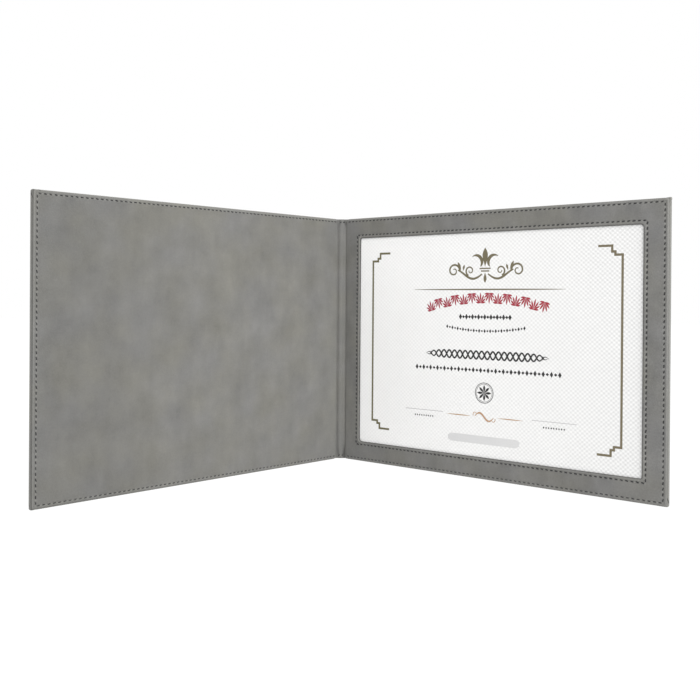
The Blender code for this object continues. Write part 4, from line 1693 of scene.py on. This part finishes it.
@dataclass(frozen=True)
class Leatherette(Finish):
    """Matt leatherette with a clouded, softly streaked dyed tone, a fine pebbled grain, paler places from
    rubbing and painted highlights, and darker places of painted shade.
    """

    contrast: float = 0.2
    streaks: float = 0.9
    pale_tone: float = 1.75
    dark_tone: float = 0.25
    warm: Triple = (1.012, 1.003, 0.962)
    cool: Triple = (0.99, 0.995, 1.035)

    def paint(self, graph: Graph) -> None:
        """Feed the shader with clouds, streaks and flecks, the masks of paler places (rubbing and painted
        highlights) and of darker places (painted shade and a dyed edge), and the grain.

        Args:
            graph: node tree of the material.
        """
        where = graph.flat()
        cloud = graph.noise(where, 42.0, 4.0, 0.62)
        streak = graph.noise(graph.stretched(where, (60.0, 18.0, 1.0)), 1.0, 3.0, 0.6)
        fleck = graph.noise(where, 640.0, 3.0, 0.65)
        light = 0.5 + (cloud - 0.5) * 1.5 + (streak - 0.5) * self.streaks + (fleck - 0.5) * 0.7
        dyed = graph.blend(light.held(), *self.shades(1.0 - self.contrast, 1.0 + self.contrast))
        hue = ((graph.noise(where, 24.0) - 0.5) * 3.0 + 0.5).held()
        tint = graph.blend(hue, self.cool, self.warm)
        dyed = graph.node("ShaderNodeVectorMath", {0: dyed, 1: tint}, operation="MULTIPLY").outputs[0]
        # Paler for rubbing and painted highlights; darker for painted shade and dyed edges.
        paled = (graph.mask("wear") * (0.55 + fleck * 0.6)).held()
        lightened = graph.blend(paled * 0.62, dyed, shade(self.tone, self.pale_tone))
        graph.colour(graph.blend(graph.mask("dye"), lightened, shade(self.tone, self.dark_tone)))
        graph.roughness(0.66 + cloud * 0.16)
        cells = {"Vector": where, "Scale": 1500.0}
        pebble = graph.value("ShaderNodeTexVoronoi", "Distance", cells, feature="F1")
        graph.bump(pebble * 0.6 + fleck * 0.8 + cloud * 1.5, 0.00006, 0.75)


@dataclass(frozen=True)
class CutEdge(Finish):
    """Cut rim of leatherette: a fibrous core, darker where the mesh's mask says so: a dyed edge at the
    window, partly painted shade.
    """

    dyed: Triple
    rough: float = field(default=0.85, kw_only=True)

    def paint(self, graph: Graph) -> None:
        """Feed the shader with two fibrous tones and their bump.

        Args:
            graph: node tree of the material.
        """
        fibre = graph.noise(graph.place(), 1800.0, 3.0, 0.7)
        plain = graph.blend(fibre, *self.shades(0.7, 1.3))
        dark = graph.blend(fibre, shade(self.dyed, 0.6), shade(self.dyed, 1.4))
        graph.colour(graph.blend(graph.mask("dye"), plain, dark))
        graph.bump(fibre, 0.00008, 0.8)


@dataclass(frozen=True)
class Board(Finish):
    """Greyboard, card or dyed card: pressed fibres with darker flecks."""

    flecks: float = 0.5
    rough: float = field(default=0.9, kw_only=True)

    def paint(self, graph: Graph) -> None:
        """Feed the shader with level fibres and flecks.

        Args:
            graph: node tree of the material.
        """
        where = graph.place()
        fibre = graph.noise(graph.stretched(where, (1.0, 1.0, 2.2)), 700.0, 4.0, 0.65)
        fleck = graph.noise(where, 2600.0, 1.0, 0.4)
        light = 0.5 + (fibre - 0.5) * 1.4 - ((fleck - 0.62) * 6.0).held() * self.flecks
        graph.colour(graph.blend(light.held(), *self.shades(0.78, 1.16)))
        graph.bump(fibre, 0.00005, 0.6)


@dataclass(frozen=True)
class Paper(Finish):
    """Certificate paper embossed with staggered pillows: a cosine across times a cosine up.

    Its hollows are painted darker as shade, more and more towards the fore edge, and its tone is painted
    lighter near the crease and darker towards the fore edge, against the shade that the front panel casts.
    """

    across: float = 4.05
    up: float = 3.6
    rough: float = field(default=0.62, kw_only=True)

    def paint(self, graph: Graph) -> None:
        """Feed the shader with the pillows and their painted shade, fine fibres, faint clouds and a painted
        fall of light.

        Args:
            graph: node tree of the material.
        """
        where = graph.place()
        x = graph.part(where, "X")
        turns = (x * (2 * pi / (self.across * MM)), graph.part(where, "Z") * (2 * pi / (self.up * MM)))
        pillow = graph.math("COSINE", turns[0]) * graph.math("COSINE", turns[1])
        fibre = graph.noise(where, 900.0, 3.0, 0.6)
        cloud = graph.noise(where, 30.0)
        # Share of painted shade that grows towards the fore edge, in the emboss's hollows and over the
        # whole tone.
        shade_to_fore = (x * 3.4 + 0.42).held()
        depth = 0.12 + shade_to_fore * 0.3
        # Colour darkened in the emboss's hollows, as painted shade.
        light = (0.9 - depth * (1.0 - pillow) + (fibre - 0.5) * 0.15 + (cloud - 0.5) * 0.15).held()
        # Painted light: the tone is lighter near the crease and darker towards the fore edge.
        near = graph.blend(light, *self.shades(0.78, 1.045))
        far = graph.blend(light, *self.shades(0.68, 0.96))
        graph.colour(graph.blend(shade_to_fore, near, far))
        graph.roughness(0.56 + fibre * 0.16)
        graph.bump(pillow * 0.5 + fibre * 0.08, 0.0002, 0.8)


@dataclass(frozen=True)
class Thread(Finish):
    """Black sewing thread: fine fibres that run round the twisted strands."""

    rough: float = field(default=0.58, kw_only=True)

    def paint(self, graph: Graph) -> None:
        """Feed the shader with stretched fibres.

        Args:
            graph: node tree of the material.
        """
        fibre = graph.noise(graph.stretched(graph.flat(), (1.0, 3.0, 1.0)), 2600.0, 3.0, 0.7)
        graph.colour(graph.blend(fibre, *self.shades(0.5, 2.1)))
        graph.roughness(0.5 + fibre * 0.25)
        graph.bump(fibre, 0.00006, 0.8)


@dataclass(frozen=True)
class PrintInk(Finish):
    """Printing ink that shifts between two tones across the sheet and lies unevenly on its grain."""

    other: Triple
    sheet: float = 0.3
    rough: float = field(default=0.5, kw_only=True)

    def paint(self, graph: Graph) -> None:
        """Feed the shader with the shift of tone and the uneven lay.

        Args:
            graph: node tree of the material.
        """
        where = graph.flat()
        drift = graph.part(where, "X") * (1.0 / self.sheet)
        share = (drift + (graph.noise(where, 22.0) - 0.5) * 1.1).held()
        lay = graph.noise(where, 1500.0, 3.0, 0.7)
        mixed = graph.blend(share, self.tone, self.other)
        graph.colour(graph.blend((lay - 0.35).held() * 0.5, mixed, shade(self.tone, 1.5)))
        graph.roughness(self.rough + (lay - 0.5) * 0.3)
        graph.bump(lay, 0.00002, 0.6)


INKS = {
    Ink.GOLD: PrintInk("gold_ink", (0.138, 0.126, 0.068), (0.140, 0.114, 0.068), rough=0.42),
    Ink.RUST: PrintInk("rust_ink", (0.360, 0.250, 0.110), (0.480, 0.270, 0.190), rough=0.45),
    Ink.RED: PrintInk("red_ink", (0.300, 0.022, 0.050), (0.340, 0.024, 0.036)),
    Ink.BLACK: PrintInk("black_ink", (0.016, 0.016, 0.017), (0.022, 0.021, 0.021)),
    Ink.GREY: PrintInk("grey_ink", (0.400, 0.390, 0.400), (0.440, 0.430, 0.440)),
    Ink.PLATE: PrintInk("pale_grey_ink", (0.600, 0.600, 0.605), (0.620, 0.618, 0.615)),
}
CORES = (
    (("front_board", "rear_board", "spine_strip"), Board("greyboard", (0.262, 0.238, 0.200))),
    (("front_filler", "pocket_liner"), Board("white_card", (0.760, 0.745, 0.700), 0.15)),
    (("frame_backing",), Board("dyed_card", (0.060, 0.060, 0.058), 0.2)),
    (("certificate",), Paper("embossed_paper", (0.905, 0.903, 0.897))),
)


def dress_cores(nodes: Mapping[str, Object]) -> None:
    """Give boards, cards and the sheet their finish. They keep their solids.

    Args:
        nodes: the frame's nodes.
    """
    for names, finish in CORES:
        material = finish.make()
        for name in names:
            nodes[name].data.materials.clear()
            nodes[name].data.materials.append(material)
            log.info("%s: %s", name, material.name)


@dataclass(frozen=True)
class Studio:
    """Pale floor, soft light and the camera at the photograph's place."""

    place: Triple = (0.4119, -0.5260, 0.1581)
    look: Triple = (-0.63013, 0.77648, -0.00328)
    lens: float = 45.135
    sensor: float = 36.0
    shift: Point = (0.01269, -0.06605)
    roll: float = radians(0.403)
    middle: Triple = (0.0, 0.0, 0.12)
    floor_reach: float = 6.0
    floor_level: float = -0.0002
    floor_tone: float = 0.86
    sky: float = 0.68

    def floor(self) -> None:
        """A wide floor that looks white to the camera and in gloss, and keeps the object's shadow."""
        reach = np.linspace(-self.floor_reach, self.floor_reach, 3)
        x, y = np.meshgrid(reach, reach)
        surface = Surface()
        points = np.stack((x, y, np.full_like(x, self.floor_level)), axis=-1)
        surface.add(points, pairs(x, y) / MM, facing=(0.0, 0.0, 1.0))
        material = bpy.data.materials.new("pale_floor")
        graph = Graph(material)
        graph.roughness(0.9)
        graph.colour(shade(WHITE, self.floor_tone))
        seen = graph.math("MAXIMUM", graph.ray("Camera"), graph.ray("Glossy"))
        seen = graph.math("MAXIMUM", seen, graph.ray("Transmission"))
        graph.whiten(seen * 0.9, "ShaderNodeEmission", 1.08)
        surface.build("floor", (material,))

    def sky_light(self) -> None:
        """An even world that lights softly and looks white."""
        world = bpy.data.worlds.new("studio")
        bpy.context.scene.world = world
        graph = Graph(world, "Background")
        graph.feed(graph.shader.inputs["Color"], WHITE)
        graph.feed(graph.shader.inputs["Strength"], self.sky)
        graph.whiten(graph.ray("Camera"), "ShaderNodeBackground", 1.0)

    def lamp(self, name: str, place: Triple, size: float, power: float) -> None:
        """A soft square lamp that looks at the holder's middle.

        Args:
            name: name of the lamp.
            place: where it hangs.
            size: length of its sides.
            power: watts.
        """
        data = bpy.data.lights.new(name, "AREA")
        data.size, data.energy = size, power
        item = added(name, data)
        item.location = place
        aim = Vector(self.middle) - Vector(place)
        item.rotation_euler = aim.to_track_quat("-Z", "Y").to_euler()

    def camera(self) -> None:
        """The camera, level but for a slight roll, with its frame shifted down."""
        data = bpy.data.cameras.new("camera")
        data.lens, data.sensor_width = self.lens, self.sensor
        data.shift_x, data.shift_y = self.shift
        data.clip_start, data.clip_end = 0.01, 50.0
        aim = Vector(self.look).to_track_quat("-Z", "Y").to_matrix()
        turn = aim @ Matrix.Rotation(self.roll, 3, "Z")
        item = added("camera", data)
        item.matrix_world = Matrix.Translation(self.place) @ turn.to_4x4()
        bpy.context.scene.camera = item

    def build(self) -> None:
        """Set up the whole studio."""
        self.floor()
        self.sky_light()
        self.lamp("key", (4.0, -1.55, 2.4), 2.9, 190.0)
        self.lamp("fill", (-0.3, -2.0, 0.9), 2.0, 10.0)
        self.camera()
        bpy.context.scene.view_settings.view_transform = "Standard"


def report(item: Object) -> None:
    """Log a piece's name and its number of triangles."""
    triangles = sum(len(face.vertices) - 2 for face in item.data.polygons)
    log.info("%s: %d triangles", item.name, triangles)


def declare(item: Object, nodes: Sequence[str]) -> None:
    """Hide the nodes that a piece stands for, and report the piece.

    Args:
        item: the piece.
        nodes: the nodes that it replaces.
    """
    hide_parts(*nodes)
    report(item)


def main() -> None:
    """Load the frame, build every piece and set up the studio."""
    logging.basicConfig(level=logging.INFO, format="%(name)s: %(message)s")
    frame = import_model()
    rear, front = make_halves(frame["joints"])
    outer = Leatherette("grey_leatherette", (0.165, 0.163, 0.151)).make()
    lining = Leatherette("grey_lining", (0.165, 0.163, 0.151)).make()
    framing = Leatherette("grey_frame", (0.164, 0.162, 0.152), 0.24).make()
    cut = CutEdge("cut_edge", (0.170, 0.165, 0.155), (0.045, 0.045, 0.044)).make()
    front_cover = Cover(front, 0.8, tip=0.0, shaded_ledge=0.45, dark_at_head=True)
    for cover in (Cover(rear, 1.3), front_cover):
        skins = (f"{cover.half.name}_cover_skin", "spine_skin")
        declare(cover.build((outer, cut)), skins)
    for half, node in ((rear, "rear_lining_flap"), (front, "front_lining")):
        declare(Lining(half).build((lining, cut)), (node, "spine_lining"))
    declare(WindowFrame(rear).build((framing, cut)), ("window_frame",))
    thread = Thread("black_thread", (0.012, 0.012, 0.013)).make()
    for stitching, nodes in make_stitching(rear, front):
        declare(stitching.build(thread), nodes)
    for piece in Print(rear).build({ink: finish.make() for ink, finish in INKS.items()}):
        report(piece)
    dress_cores(frame["nodes"])
    Studio().build()


if __name__ == "__main__":
    main()
